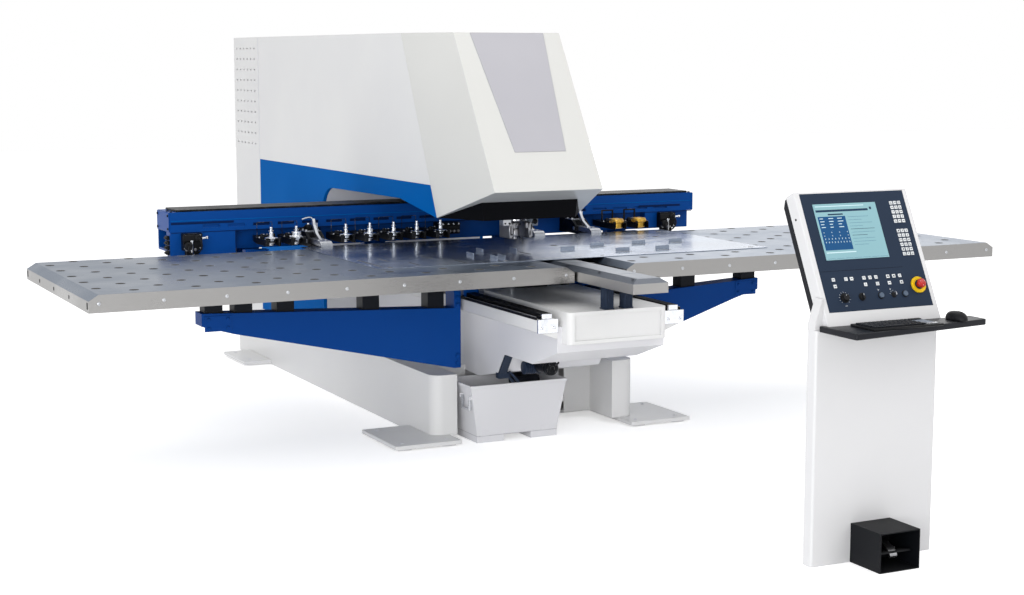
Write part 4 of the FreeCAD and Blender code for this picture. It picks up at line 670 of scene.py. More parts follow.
def makeTable():
    ring, bristles = Shape(), Shape()
    r = table["brush"]
    lathe(ring, Matrix(), [(r * 0.86, 0), (r, 0), (r, 0.2), (r * 0.95, 0.3), (r * 0.86, 0.2)], 20)
    lathe(bristles, Matrix(), [(r * 0.87, 0), (r * 0.86, 0.15), (r * 0.5, 0.3), (0, 0.3)], 20)
    spots = list(brushPlaces(table["leftEnd"], table["leftGap"], table["leftColumn"]))
    spots += list(brushPlaces(table["rightGap"], table["rightEnd"], table["rightColumn"]))
    places = [spot(x, y, table["top"]) for x, y in spots]
    stampAll("brushRings", ring, places, "greyPlastic", "y_carriage", "table_steel")
    stampAll("brushBristles", bristles, places, "bristle", "y_carriage")
    screws = Shape()
    for y, facing in ((table["front"], -1), (table["back"], 1)):
        for first, step in table["screwRuns"]:
            for i in range(table["screwCount"]):
                domeHead(screws, at(first + step * i, y, table["screwHeight"]), (0, facing, 0), 8.5, 3.5)
    piece("apronScrews", screws, "brightSteel", "y_carriage")
    holes, slots = Shape(), Shape()
    for x, facing in ((table["leftEnd"], -1), (table["rightEnd"], 1)):
        for y in table["holeLines"]:
            place = alongAxis(at(x, y, table["holeHeight"]), (facing, 0, 0))
            lathe(holes, place, [(9.5, 0), (9.5, 0.8), (6, 1.2), (6, 0.2), (0, 0.2)], 18)
        # flat dark patches on the end faces stand for slots: painted shade of the openings
        for y in table["cornerLines"]:
            between(slots, (x, y - 9, 884), (x + table["cornerSink"] * facing, y + 9, 914), 0.3)
    piece("endHoles", holes, "blackSteel", "y_carriage")
    piece("cornerSlotShade", slots, "grooveBlack", "y_carriage")
    ribs = Shape()
    for low, high in ((table["leftEnd"], table["leftGap"]), (table["rightGap"], table["rightEnd"])):
        for i in range(table["ribCount"]):
            x = low + (high - low) * (i + 1) / (table["ribCount"] + 1)
            between(ribs, (x - table["ribHalf"], -985, 925), (x + table["ribHalf"], -385, 942.5), 2)
    piece("tableRibs", ribs, "apronSteel", "y_carriage")
    seams = Shape()
    for x in (table["leftGap"], table["rightGap"]):
        between(seams, (x - table["lipHalf"], -996, 873), (x + table["lipHalf"], 348, 918), 0.4)
    piece("gapLips", seams, "grooveBlack", "y_carriage", "black_plastic")


makeTable()
print("table dressed")

# the arms under the table and the blocks on them; each side: its direction, its end, the lines of its ribs
arms = {"front": -370, "root": 425, "flange": 36, "topRoot": 687, "topEnd": 742, "lowRoot": 373,
        "lowEnd": 633, "sides": ((-1, 1799, (640, 900, 1160, 1420)),
                  (1, 1414, (640, 860, 1080))), "ribMargin": 10, "endPlate": 160,
        "boltHeights": (400, 436, 700, 738), "blockLines": (-1735, -1585, -1370, -918, -560, 560, 960, 1355)}


def makeArms():
    bolts, ribs, plates, screws, pads = Shape(), Shape(), Shape(), Shape(), Shape()
    front, start = arms["front"], arms["root"] + arms["flange"]
    for side, end, ribLines in arms["sides"]:
        for z in arms["boltHeights"]:
            hexHead(bolts, at((arms["root"] + arms["flange"] / 2) * side, front, z), (0, -1, 0), 21, 10)
        for x in ribLines:
            top = arms["topRoot"] + (arms["topEnd"] - arms["topRoot"]) * (x - start) / (end - start)
            share = (x - start) / (end - arms["endPlate"] - start)
            low = arms["lowRoot"] + (arms["lowEnd"] - arms["lowRoot"]) * share
            between(ribs, (x * side - 4, front + 10, low + arms["ribMargin"]),
                    (x * side + 4, front + 106, top - arms["ribMargin"]), 1)
        between(plates, ((end - 150) * side, front - 3, 652), ((end - 14) * side, front, 728), 1.2)
        for x, z in itertools.product((end - 130, end - 34), (668, 712)):
            hexHead(bolts, at(x * side, front - 3, z), (0, -1, 0), 13, 6)
    for x in arms["blockLines"]:
        for z, off in itertools.product((806, 860), (-28, 28)):
            socketHead(screws, at(x + off, front + 12, z), (0, -1, 0), 7.5, 7)
        between(pads, (x - 52, front + 6, 876), (x + 52, front + 106, 884), 1.5)
    piece("armBolts", bolts, "shadedArmBlue", "y_carriage")
    piece("armRibs", ribs, "shadedArmBlue", "y_carriage")
    piece("armEndPlates", plates, "shadedArmBlue", "y_carriage")
    piece("blockScrews", screws, "blackSteel", "y_carriage")
    piece("blockFlanges", pads, "darkPaint", "y_carriage")


makeArms()

# the bridge under the cross rail, and both sets of linear rails
rails = {"guideLine": 351, "front": -1160, "back": 1310, "boltPitch": 80, "guideTop": 758, "toothCount": 150,
         "toothPitch": 16.5, "crossLines": (685, 855), "crossHalf": 1700, "crossPitch": 100, "crossTop": 886,
         "bridgePitch": 240, "bridgeHalf": 1680, "sink": 0.15}


def boltSeat(shape, x, y, z, radius):
    # the dark round of a sunk bolt on a rail
    lathe(shape, spot(x, y, z), [(radius, 0), (radius, rails["sink"]), (0, rails["sink"])], 12)


def makeRails():
    dots, ends, racks, teeth = Shape(), Shape(), Shape(), Shape()
    for side in (-1, 1):
        x = rails["guideLine"] * side
        for y, off in itertools.product(range(rails["front"], rails["back"], rails["boltPitch"]), (-13, 13)):
            boltSeat(dots, x + off, y, rails["guideTop"], 4.8)
        between(ends, (x - 27, -1197, 729), (x + 27, -1184, 757), 1.5)
        for off in (-33, 33):
            socketHead(ends, at(x + off, -1208, 690), (0, -1, 0), 7, 6)
        between(racks, (x + 45 * side, -1180, 728), (x + 53 * side, rails["back"], 741), 1)
        for i in range(rails["toothCount"]):
            y = -1175 + i * rails["toothPitch"]
            between(teeth, (x + 46 * side, y, 741), (x + 52 * side, y + 8, 744), 1)
    piece("railBoltSeats", dots, "grooveBlack", "root")
    piece("railEndBlocks", ends, "chrome", "root", "bright_steel")
    piece("guideRacks", racks, "blackSteel", "root")
    piece("rackTeeth", teeth, "toolSteel", "root")
    dots, screws, caps = Shape(), Shape(), Shape()
    half = rails["crossHalf"]
    for y, x in itertools.product(rails["crossLines"], range(-half, half + 1, rails["crossPitch"])):
        boltSeat(dots, x, y, rails["crossTop"], 4.5)
    half = rails["bridgeHalf"]
    for x, z in itertools.product(range(-half, half + 1, rails["bridgePitch"]), (804, 848)):
        socketHead(screws, at(x, 640, z), (0, -1, 0), 7, 6)
        socketHead(screws, at(x, 900, z), (0, 1, 0), 7, 6)
    piece("crossRailSeats", dots, "grooveBlack", "y_carriage")
    piece("bridgeScrews", screws, "blackSteel", "y_carriage")
    for side in (-1, 1):
        between(caps, (1760 * side, 634, 786), (1764 * side, 906, 866), 1.5)
    piece("bridgeEndCaps", caps, "shadedRailBlue", "y_carriage")


makeRails()
print("arms and rails dressed")

# the cross rail; each painted shadow line on its face: from, to, height
crossRail = {"half": 1651, "front": 707, "back": 950, "top": 1142, "highlightHeight": 1094, "endCap": 5,
             "slotFirst": -1184, "slotPitch": 142, "slotCount": 15,
             "rearBoltPitch": 250, "rearBoltHalf": 1500, "plugCount": 4, "plugPitch": 27, "bandHeight": 11,
             "shadowLines": ((-1645, -1294, 1081), (1268, 1561, 1069))}


def makeCrossRail():
    line, inner, bolts, plugs, caps = Shape(), Shape(), Shape(), Shape(), Shape()
    half, front, back, top = (crossRail[key] for key in ("half", "front", "back", "top"))
    height, endCap = crossRail["highlightHeight"], crossRail["endCap"]
    # a raised strip along the face in the lighter blue: a painted highlight of the groove's edge
    between(line, (-half + 6, front - 2.4, height - 2), (half - 6, front, height + 2), 1.2)
    # the slots' back plates wear the darkest blue: painted shade in the recesses
    for i in range(crossRail["slotCount"]):
        x = crossRail["slotFirst"] + crossRail["slotPitch"] * i
        between(inner, (x + 0.5, 713.5, 1054.5), (x + 95.5, 716.2, 1069.5), 0.4)
    for x, y in itertools.product((-half + 14, -half + 52, half - 52, half - 14), (730, 800)):
        socketHead(bolts, at(x, y, top), (0, 0, 1), 8, 6)
    rear = crossRail["rearBoltHalf"]
    for x, z in itertools.product(range(-rear, rear + 1, crossRail["rearBoltPitch"]), (1070, 1010)):
        socketHead(bolts, at(x, back, z), (0, 1, 0), 7, 5)
    for side in (-1, 1):
        between(caps, (half * side, front + 2, 1036), ((half + endCap) * side, back - 2, top - 2), 1.5)
        for y, z in itertools.product((725, 930), (1052, 1124)):
            socketHead(bolts, at((half + endCap) * side, y, z), (side, 0, 0), 7, 5)
    for i in range(crossRail["plugCount"]):
        z = 912 + i * crossRail["plugPitch"]
        between(plugs, (-half - 15, 716, z), (-half, 758, z + 22), 2)
        for y in (727, 747):
            rod(plugs, at(-half - 15, y, z + 11), at(-half - 22, y, z + 11), 6, 14)
    piece("railHighlightLine", line, "bluePaint", "x_carriage")
    piece("railSlotBottoms", inner, "slotShadeBlue", "x_carriage", "black_steel")
    piece("crossRailBolts", bolts, "blackSteel", "x_carriage")
    piece("crossRailCaps", caps, "shadedRailBlue", "x_carriage")
    piece("railPlugs", plugs, "blackSteel", "x_carriage", "bright_steel")
    band = Shape()
    between(band, (-half + 40, 722, top), (half - 30, 936, top + crossRail["bandHeight"]), 3)
    topBand = piece("railTopBand", band, "blackSteel", "x_carriage")
    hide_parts("rail_top_strip")
    # a dark vertical seam, then painted shadow: a dark strip under the face's lower edge and dark lines
    # across the face
    seam = Shape()
    between(seam, (-half + 364, front - 1.2, 902), (-half + 367, front + 0.2, 1033), 0.4)
    between(seam, (-half + 6, front - 1.6, 1029), (half - 6, front, 1033), 1)
    for x0, x1, z in crossRail["shadowLines"]:
        between(seam, (x0, front - 1.4, z - 6), (x1, front + 0.2, z + 6), 0.4)
    piece("railShadowLines", seam, "slotShadeBlue", "x_carriage")


makeCrossRail()

# valve units at both ends of the cross rail, and a small one in its middle
valves = {"lines": (-1538, 1448), "rodRadius": 6.5, "pipeRadius": 5.5, "thinPipeRadius": 4.5,
          "middleScrews": 4, "middleKnobs": 4}


def makeValves():
    black, bright, fittings = Shape(), Shape(), Shape()
    for x in valves["lines"]:
        between(black, (x - 58, 652, 988), (x + 20, 664, 1022), 3)
        lathe(black, alongAxis(at(x - 30, 661, 962), (0, -1, 0)),
              [(0, 0), (20, 0), (22, 4), (22, 20), (17, 26), (0, 26)], 20)
        lathe(black, alongAxis(at(x + 26, 661, 1006), (0, -1, 0)),
              [(0, 0), (16, 0), (18, 3), (18, 16), (12, 21), (0, 21)], 20)
        rod(bright, at(x - 8, 648, 905), at(x - 8, 648, 990), valves["rodRadius"], 18)
        lathe(bright, spot(x - 8, 648, 902), [(0, 0), (17, 0), (19, 3), (19, 13), (12, 18), (6.5, 18)], 20)
        lathe(bright, spot(x - 8, 648, 984), [(6.5, 0), (11, 1), (11, 9), (0, 11)], 16)
        rod(bright, at(x + 44, 668, 1000), at(x + 74, 664, 1003), 5.5, 14)
        lathe(bright, alongAxis(at(x + 74, 664, 1003), (1, -0.1, 0.1)),
              [(0, 0), (9, 1), (9, 8), (4, 14), (0, 15)], 14)
        for i in range(3):
            hexHead(fittings, at(x - 36 + i * 24, 661, 942), (0, -1, 0), 11, 9)
        for i in range(4):
            socketHead(bright, at(x - 44 + (i % 2) * 84, 661, 948 + (i // 2) * 70), (0, -1, 0), 4.5, 4)
        pipe = smoothPath([at(x - 30, 634, 962), at(x - 34, 626, 946), at(x - 20, 630, 925),
                           at(x + 4, 652, 912), at(x + 20, 678, 915)])
        tube(black, pipe, valves["pipeRadius"])
        pipe = smoothPath([at(x + 26, 640, 1006), at(x + 34, 628, 990), at(x + 40, 630, 962),
                           at(x + 34, 655, 930), at(x + 24, 690, 915)])
        tube(black, pipe, valves["thinPipeRadius"])
    for i in range(valves["middleScrews"]):
        socketHead(bright, at(-70 + i * 33, 647, 1020), (0, -1, 0), 5, 4)
    between(black, (-74, 640, 968), (34, 648, 1012), 3)
    for i in range(valves["middleKnobs"]):
        lathe(fittings, alongAxis(at(-58 + i * 26, 640, 980), (0, -1, 0)),
              [(0, 0), (8, 0), (9, 2), (9, 9), (5, 14), (0, 14)], 12)
    piece("valveKnobs", black, "blackPlastic", "x_carriage")
    piece("valveRods", bright, "chrome", "x_carriage")
    piece("valveFittings", fittings, "toolSteel", "x_carriage")


makeValves()
print("cross rail dressed")

# tool stations on the cross rail; punchWidths says how far each stored punch fills its holder, from 0 to 1
stations = {"line": 500, "top": 996, "plain": (-1151, -1008, -721, -579, -437, -297, -152),
            "punchWidths": (0.0, 1.0, 0.0, 0.35, 0.0, 0.0,
                            0.0), "gold": (996, 1148), "hoopLine": 612, "hoopHalf": 43,
            "hoopHeight": 1080, "hoopSpread": 3, "wire": 1.7, "springHeight": 985, "springRadius": 6.16,
            "springSteps": 29, "springPitch": 2.6, "springTurn": 0.9, "ringTeeth": 30}


def makeStations():
    arms, screws, wires, knobs, springs = Shape(), Shape(), Shape(), Shape(), Shape()
    line, top = stations["line"], stations["top"]
    for x in stations["plain"] + stations["gold"]:
        for side in (-1, 1):
            lathe(arms, spot(x + 36 * side, line - 36, top), [(0, 0), (8.5, 0), (8.5, 7), (6, 10), (0, 10)],
                  16)
            lathe(arms, spot(x + 33 * side, line + 62, top),
                  [(0, 0), (9, 0), (10, 3), (10, 20), (7, 25), (0, 25)], 16)
            socketHead(screws, at(x + 34 * side, line - 8, top), (0, 0, 1), 4.8, 4)
            socketHead(screws, at(x + 34 * side, line + 100, top), (0, 0, 1), 5.5, 5)
            between(arms, (x + 32 * side - 7, line + 30, top), (x + 32 * side + 7, line + 48, top + 12), 2)
        between(arms, (x - 20, line + 78, top), (x + 20, line + 118, top + 16), 3)
        for off in (-9, 9):
            socketHead(screws, at(x + off, line + 98, top + 16), (0, 0, 1), 4.2, 4)
        height, radius = stations["springHeight"], stations["springRadius"]
        coil = []
        for i in range(stations["springSteps"]):
            angle = i * stations["springTurn"]
            coil.append(at(x + radius * math.cos(angle), line + 124 + i * stations["springPitch"],
                           height + radius * math.sin(angle)))
        tube(springs, coil, 1.1, 6)
        rod(screws, at(x, line + 122, height), at(x, line + 204, height), 3.5, 10)
        if x in stations["plain"]:
            reach = stations["hoopHalf"]
            high = stations["hoopHeight"] + rng.uniform(-1, 1) * stations["hoopSpread"]
            hoop = ((-reach, 994), (-reach, 1040), (-reach, high - 6), (6 - reach, high), (0, high),
                    (reach - 6, high), (reach, high - 6), (reach, 1040), (reach, 994))
            tube(wires, smoothPath([at(x + off, stations["hoopLine"], z) for off, z in hoop], 4),
                 stations["wire"], 8)
        lathe(knobs, alongAxis(at(x + 42, line + 20, 980), (1, 0, 0)),
              [(0, 0), (6, 0), (7, 2), (7, 10), (4, 13), (0, 13)], 12)
    piece("stationArms", arms, "blackSteel", "x_carriage")
    piece("stationScrews", screws, "brightSteel", "x_carriage")
    piece("stationHoops", wires, "blackSteel", "x_carriage")
    piece("stationKnobs", knobs, "blackPlastic", "x_carriage")
    piece("stationSprings", springs, "brightSteel", "x_carriage")


def makeStoredTools():
    # profiles from the machine's floor upwards: plain punches with their keys, then the ringed rotation tools
    bright, keys, dark = Shape(), Shape(), Shape()
    for x, width in zip(stations["plain"], stations["punchWidths"]):
        place = spot(x, stations["line"], 0)
        lathe(bright, place, [(0, 963), (12, 963), (13.5, 965), (13.5, 972), (26, 975), (27.2, 977),
                              (27.2, 994), (36, 996), (37, 997.5), (37, 1004.5), (35.5, 1006),
                              (30, 1007)], 32)
        body = 12 + width * 16
        lathe(bright, place, [(30, 1007), (body + 4, 1009), (body, 1012), (body, 1030), (body - 2, 1032),
                              (8.2, 1034), (8.2, 1048), (6.8, 1049), (6.8, 1052), (8.2, 1053),
                              (8.2, 1060.5), (7, 1062), (0, 1062)], 28)
        block(keys, (0, 33, 1007.5), (6, 8, 5), 0.8, place @ Matrix.Rotation(0.6 * (x % 5), 4, "Z"))
        ends = [place @ (Vector((reach, 0, 1041)) / 1000) for reach in (-14, 14)]
        rod(keys, *ends, 2.2, 10)
        lathe(dark, place, [(27.4, 979), (28.1, 980), (28.1, 984), (27.4, 985)], 28)
    stored = piece("storedPunches", bright, "chrome", "x_carriage", "bright_steel")
    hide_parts("punch_tools")
    piece("punchKeys", keys, "toolSteel", "x_carriage")
    piece("punchBands", dark, "rubber", "x_carriage")
    gold, gears, cores = Shape(), Shape(), Shape()
    for x in stations["gold"]:
        place = spot(x, stations["line"], 0)
        lathe(gold, place, [(0, 964), (26, 964), (34, 968), (35.8, 970), (35.8, 995), (42, 997),
                            (43.8, 999), (43.8, 1010), (42, 1012.5), (41, 1012.5), (40.5, 1019), (38, 1021.5),
                            (30, 1022), (27, 1019), (27, 1014), (20, 1013)], 40)
        lathe(cores, place, [(20, 1012.8), (18, 1016), (12, 1016.5), (10.5, 1021), (6, 1021.8), (0, 1021.8)],
              24)
        for turned in turnsOf(place, stations["ringTeeth"]):
            block(gears, (43.6, 0, 1004.5), (2.2, 4.4, 10.5), 0.6, turned)
    ring = piece("rotationRings", gold, "brass", "x_carriage")
    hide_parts("rotation_tools")
    piece("ringTeeth", gears, "brass", "x_carriage")
    piece("ringCores", cores, "toolSteel", "x_carriage")


makeStations()
makeStoredTools()
print("tool stations built")

# clamps; the lever's side outline is drawn in Y and Z
clamps = {"lines": (-870, 430, 800), "pivot": (585, 968.5), "coverTop": 1019, "sheetTop": 952.5,
          "ridgeCount": 9, "pipeRadius": 4,
          "lever": ((400, 966), (430, 972), (490, 984), (548, 1012), (588, 1056), (602, 1088), (626, 1086),
                    (614, 1052), (570, 996), (520, 970), (470, 960), (402, 956))}


def makeClamps():
    bolts, plates, links, pipes, cylinders = Shape(), Shape(), Shape(), Shape(), Shape()
    top = clamps["coverTop"]
    for x in clamps["lines"]:
        between(plates, (x - 46, 618, top - 4.5), (x + 46, 700, top), 1.5)
        for off, y in itertools.product((-34, 34), (632, 686)):
            socketHead(bolts, at(x + off, y, top), (0, 0, 1), 6.5, 6)
        for side in (1, -1):
            place = alongAxis(at(x + 48 * side, *clamps["pivot"]), (side, 0, 0))
            lathe(bolts, place, [(0, 0), (11, 0), (11, 2), (8.5, 3.5), (0, 3.5)], 18)
        lathe(cylinders, spot(x - 12, 660, top),
              [(0, 0), (19, 0), (21, 3), (21, 26), (17, 31), (8, 33), (0, 33)], 24)
        between(cylinders, (x + 10, 640, top), (x + 40, 682, top + 23), 4)
        hexHead(bolts, at(x - 12, 660, 1052), (0, 0, 1), 12, 8)
        between(links, (x + 20, 612, 1018), (x + 26, 650, 1062), 1)
        rod(links, at(x + 23, 618, 1022), at(x + 23, 690, 1072), 5, 14)
        rod(links, at(x + 14, 652, 1046), at(x + 32, 652, 1046), 4.5, 12)
        pipe = smoothPath([at(x - 12, 681, 1036), at(x - 14, 692, 1038), at(x - 30, 700, 1030),
                           at(x - 44, 702, 1012), at(x - 46, 704, 990)])
        tube(pipes, pipe, clamps["pipeRadius"])
        pipe = smoothPath([at(x + 40, 664, 1030), at(x + 52, 668, 1030), at(x + 62, 684, 1022),
                           at(x + 64, 704, 1006)])
        tube(pipes, pipe, clamps["pipeRadius"])
    piece("clampCovers", plates, "clampSteel", "x_carriage")
    piece("clampBolts", bolts, "brightSteel", "x_carriage")
    piece("clampLinks", links, "chrome", "x_carriage")
    piece("clampPipes", pipes, "blackPlastic", "x_carriage")
    piece("clampCylinders", cylinders, "blackSteel", "x_carriage")
    sheetTop = clamps["sheetTop"]
    for index, x in enumerate(clamps["lines"], start=1):
        grips, lever = Shape(), Shape()
        for i in range(clamps["ridgeCount"]):
            between(grips, (x - 30 + i * 7, 397, sheetTop + 12.2), (x - 26 + i * 7, 412, sheetTop + 19.5),
                    0.6)
        for off in (-20, 20):
            socketHead(grips, at(x + off, 470, sheetTop + 27.6), (0, 0, 1), 5, 4)
        wall(lever, clamps["lever"], 4, 16, Matrix.Translation(at(x - 13, 0, 0)) @ throughX)
        tube(lever, smoothPath([at(x - 2, 618, 1078), at(x - 8, 622, 1092), at(x - 34, 622, 1092),
                                at(x - 62, 622, 1084)]), 4)
        bar = piece("jawLever_%d" % index, lever, "brightSteel", "clamp_jaw_%d" % index, "clamp_steel")
        roundEdges(bar, 3, 2)
        piece("jawRidges_%d" % index, grips, "brightSteel", "clamp_jaw_%d" % index)


makeClamps()
print("clamps dressed")

# the workpiece's punched openings as flat dark patches, painted shade of the holes, with their bright burrs
# long ones across the sheet (line, front, back), wide ones (left end, line) and round ones (x, y, radius)
blank = {"top": 952.5, "lift": 0.25, "burr": 1.1, "skin": 0.08, "longHalf": 5, "wide": 87,
         "wideDeep": (14, 26),
         "long": ((-52, -439, -288), (-520, -653, -497), (-765, -636, -499), (-842, -422, -280),
                  (-595, -400, -250), (-960, -619, -294)),
         "wides": ((404, -250), (671, -240), (908, -240), (407, -524), (648, -530)),
         "round": ((-930, -650, 14), (-300, -640, 11), (260, -640, 11), (1180, -640, 14), (-930, 330, 14),
                   (1180, 330, 14), (260, -100, 20), (560, -120, 9), (-640, 120, 9), (-360, 140, 20),
                   (1000, 60, 20))}


def makeBlank():
    holes, edges = Shape(), Shape()
    top, lift, burr, skin = (blank[key] for key in ("top", "lift", "burr", "skin"))

    def cut(x0, y0, x1, y1):
        between(holes, (x0, y0, top), (x1, y1, top + lift), skin)
        left, right = x0 - burr, x1 + burr
        for start, end in (((left, y0 - burr), (right, y0)), ((left, y1), (right, y1 + burr)),
                           ((left, y0), (x0, y1)), ((x1, y0), (right, y1))):
            between(edges, (*start, top), (*end, top + lift * 2), skin)

    for x, low, high in blank["long"]:
        cut(x - blank["longHalf"], low, x + blank["longHalf"], high)
    for x, y in blank["wides"]:
        cut(x, y - blank["wideDeep"][1], x + blank["wide"], y - blank["wideDeep"][0])
    for x, y, radius in blank["round"]:
        lathe(holes, spot(x, y, top), [(radius, 0), (radius, lift), (0, lift)], 28)
        outer = radius + burr
        lathe(edges, spot(x, y, top), [(outer, 0), (outer, lift * 2), (radius, lift * 2), (radius, 0)], 28)
    piece("blankHoleShade", holes, "grooveBlack", "x_carriage")
    piece("blankBurrs", edges, "brightSteel", "x_carriage")


makeBlank()

# under the punching head: the ram's wiper and seal, sensor, air block, the holder's cheeks, the loaded punch
head = {"line": -140, "under": 1130, "screwHalf": 210, "sensorFront": -216, "cheekFront": -218,
        "pipeRadius": 4.5, "punchGrooves": 8, "dieMarks": 12}


def makeHead():
    bright, dark, sensor, airBlock, fixed = Shape(), Shape(), Shape(), Shape(), Shape()
    under, front, place = head["under"], head["sensorFront"], spot(0, head["line"], 0)
    lathe(bright, place,
          [(42.5, 1128.5), (47, 1128.5), (49, 1127), (49, 1118), (47, 1116.5), (42.5, 1116.5)], 40)
    lathe(dark, place, [(42.5, 1116.5), (44.5, 1116.5), (44.5, 1112), (42.5, 1112)], 40)
    piece("ramWiper", bright, "brightSteel", "root")
    piece("ramSeal", dark, "rubber", "root")
    for x, y in itertools.product((-head["screwHalf"], head["screwHalf"]), (-240, -40)):
        socketHead(fixed, at(x, y, under), (0, 0, -1), 10, 7)
    between(sensor, (-105, front, 1084), (-56, -168, under), 2)
    between(airBlock, (58, front, 1078), (104, -160, under), 3)
    for z, x in itertools.product((1096, 1120), (-92, -68)):
        socketHead(fixed, at(x, front, z), (0, -1, 0), 4.5, 4)
    lathe(fixed, alongAxis(at(81, front, 1102), (0, -1, 0)),
          [(0, 0), (13, 0), (14, 2), (14, 10), (10, 13), (0, 13)], 20)
    for x in (68, 94):
        socketHead(fixed, at(x, front, 1122), (0, -1, 0), 4, 3)
    piece("ramSensor", sensor, "brightSteel", "root")
    piece("ramAirBlock", airBlock, "greyPlastic", "root", "bright_steel")
    piece("headScrews", fixed, "blackSteel", "root")
    cheeks, slots, pipes = Shape(), Shape(), Shape()
    front = head["cheekFront"]
    for side in (-1, 1):
        between(cheeks, (70 * side, front, 1014), (46 * side, -96, 1100), 3)
        between(cheeks, (46 * side, front + 4, 1066), (30 * side, -196, 1097), 2)
    for x0, z0, x1, z1 in ((-63, 1032, -57, 1082), (-57, 1032, -49, 1039), (51, 1028, 57, 1052),
                           (60, 1062, 66, 1088)):
        between(slots, (x0, front - 0.6, z0), (x1, front + 0.4, z1), 0.3)
    for x, z in ((-66, 1094), (-50, 1094), (-50, 1020), (50, 1094), (66, 1020), (66, 1094)):
        socketHead(slots, at(x, front, z), (0, -1, 0), 3.6, 3)
    piece("holderCheeks", cheeks, "toolSteel", "root")
    piece("holderSlots", slots, "blackSteel", "root")
    for path in (((-80, -170, 1112), (-82, -150, 1114), (-84, -122, 1118), (-86, -110, 1133)),
                 ((82, -162, 1104), (84, -146, 1106), (86, -120, 1114), (88, -106, 1133))):
        tube(pipes, smoothPath([at(*point) for point in path]), head["pipeRadius"])
    piece("ramPipes", pipes, "blackPlastic", "root")
    punch, bands, marks = Shape(), Shape(), Shape()
    lathe(punch, place, [(0, 1003.2), (10.5, 1003.2), (11.2, 1004), (11.5, 1018), (20, 1021), (23.3, 1023),
                         (23.8, 1026), (23.8, 1060), (22.5, 1062), (22.5, 1065), (23.8, 1067), (23.8, 1074),
                         (31, 1076), (33.8, 1079), (33.8, 1093.5), (32.5, 1095.5), (25, 1096), (23.5, 1098),
                         (23.5, 1104), (0, 1104.8)], 48)
    lathe(bands, place, [(22.6, 1061.7), (23.2, 1062), (23.2, 1065), (22.6, 1065.3)], 40)
    lathe(bands, place, [(33.9, 1082), (34.3, 1082.3), (34.3, 1084.2), (33.9, 1084.5)], 40)
    for turned in turnsOf(place, head["punchGrooves"]):
        block(bands, (33.6, 0, 1089.5), (1.2, 4, 6), 0.2, turned)
    loaded = piece("loadedPunch", punch, "toolSteel", "punch_tool")
    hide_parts("punch_tool")
    piece("punchRings", bands, "blackSteel", "punch_tool")
    for turned in turnsOf(place, head["dieMarks"]):
        block(marks, (44, 0, 945.1), (10, 1.2, 0.4), 0.1, turned)
    piece("dieMarks", marks, "blackSteel", "die")


makeHead()

# the folded cover over the punching head: front, top, twisted sides, and an opening below for the ram
cover = {"frontLow": (313, -547, 1289), "frontHigh": (313, -49, 2101), "seamLow": (430, -81.8, 1129),
         "seamHigh": (458.2, 322.2, 2101), "middle": (0, 0, 1700), "mouthHalf": 250.8, "mouthFront": -292.8,
         "rows": 14, "columns": 8, "sheet": 6, "fold": 7}


def makeHeadCover():
    mesh = bmesh.new()
    corners = ("frontLow", "frontHigh", "seamLow", "seamHigh")
    frontLow, frontHigh, seamLow, seamHigh = (Vector(cover[key]) for key in corners)
    rows, columns = cover["rows"], cover["columns"]
    sides = {}
    for side in (-1, 1):
        grid = []
        for row in range(rows + 1):
            front = frontLow.lerp(frontHigh, row / rows)
            seam = seamLow.lerp(seamHigh, row / rows)
            line = []
            for column in range(columns + 1):
                p = front.lerp(seam, column / columns)
                line.append(mesh.verts.new(at(p.x * side, p.y, p.z)))
            grid.append(line)
        for low, high in zip(grid, grid[1:]):
            for column in range(columns):
                mesh.faces.new((low[column], low[column + 1], high[column + 1], high[column])[::side])
        sides[side] = grid
    left, right = sides[-1], sides[1]
    mesh.faces.new([line[0] for line in right] + [line[0] for line in left][::-1])
    mesh.faces.new(right[-1] + left[-1][::-1])
    fall = (seamLow.z - frontLow.z) / (seamLow.y - frontLow.y)

    def under(x, y):
        return mesh.verts.new(at(x, y, frontLow.z + (y - frontLow.y) * fall))

    half, mouthFront = cover["mouthHalf"], cover["mouthFront"]
    mouth = [under(-half, seamLow.y), under(-half, mouthFront), under(half, mouthFront),
             under(half, seamLow.y)]
    mesh.faces.new(left[0] + mouth + right[0][::-1])
    bmesh.ops.recalc_face_normals(mesh, faces=mesh.faces)
    front = min(mesh.faces, key=lambda face: face.calc_center_median().y)
    if front.normal.dot(front.calc_center_median() - at(*cover["middle"])) < 0:
        bmesh.ops.reverse_faces(mesh, faces=mesh.faces)
    data = bpy.data.meshes.new("headCover")
    mesh.to_mesh(data)
    mesh.free()
    data.polygons.foreach_set("use_smooth", [True] * len(data.polygons))
    data.set_sharp_from_angle(angle=math.radians(50))
    shell = bpy.data.objects.new("headCover", data)
    bpy.context.scene.collection.objects.link(shell)
    data.materials.append(finish["headPaint"])
    sheet = shell.modifiers.new("sheet", "SOLIDIFY")
    sheet.thickness = cover["sheet"] / 1000
    sheet.offset = -1.0
    roundEdges(shell, cover["fold"], 4, 25)
    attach(shell, "root")
    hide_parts("head_cover")


makeHeadCover()

# black skirt that closes the cover's underside round the punch, black as painted shadow of that shaded
# underside; a bent strip (x, y)
underShade = {"path": ((-424, -84), (-286, -362), (250, -362), (424, -84)), "highs": (1131, 1236, 1236, 1131),
         "low": 1130, "leans": (0, -14, 14, 0), "inward": 0.96, "sheet": 10}


def makeUnderShade():
    form = Shape()
    low, points, faces = underShade["low"], [], []
    for (x, y), z, lean in zip(underShade["path"], underShade["highs"], underShade["leans"]):
        inner, back = x * underShade["inward"], y + underShade["sheet"]
        points += [at(x, y, low), at(x + lean, y, z), at(inner, back, z), at(inner, back, low)]
    for first, i in itertools.product((0, 4, 8), range(4)):
        j = (i + 1) % 4
        faces.append([first + i, first + 4 + i, first + 4 + j, first + j])
    form.take(points, faces + [[0, 1, 2, 3], [15, 14, 13, 12]])
    piece("headUnderShade", form, "boxBlack", "root")


makeUnderShade()
print("head dressed")

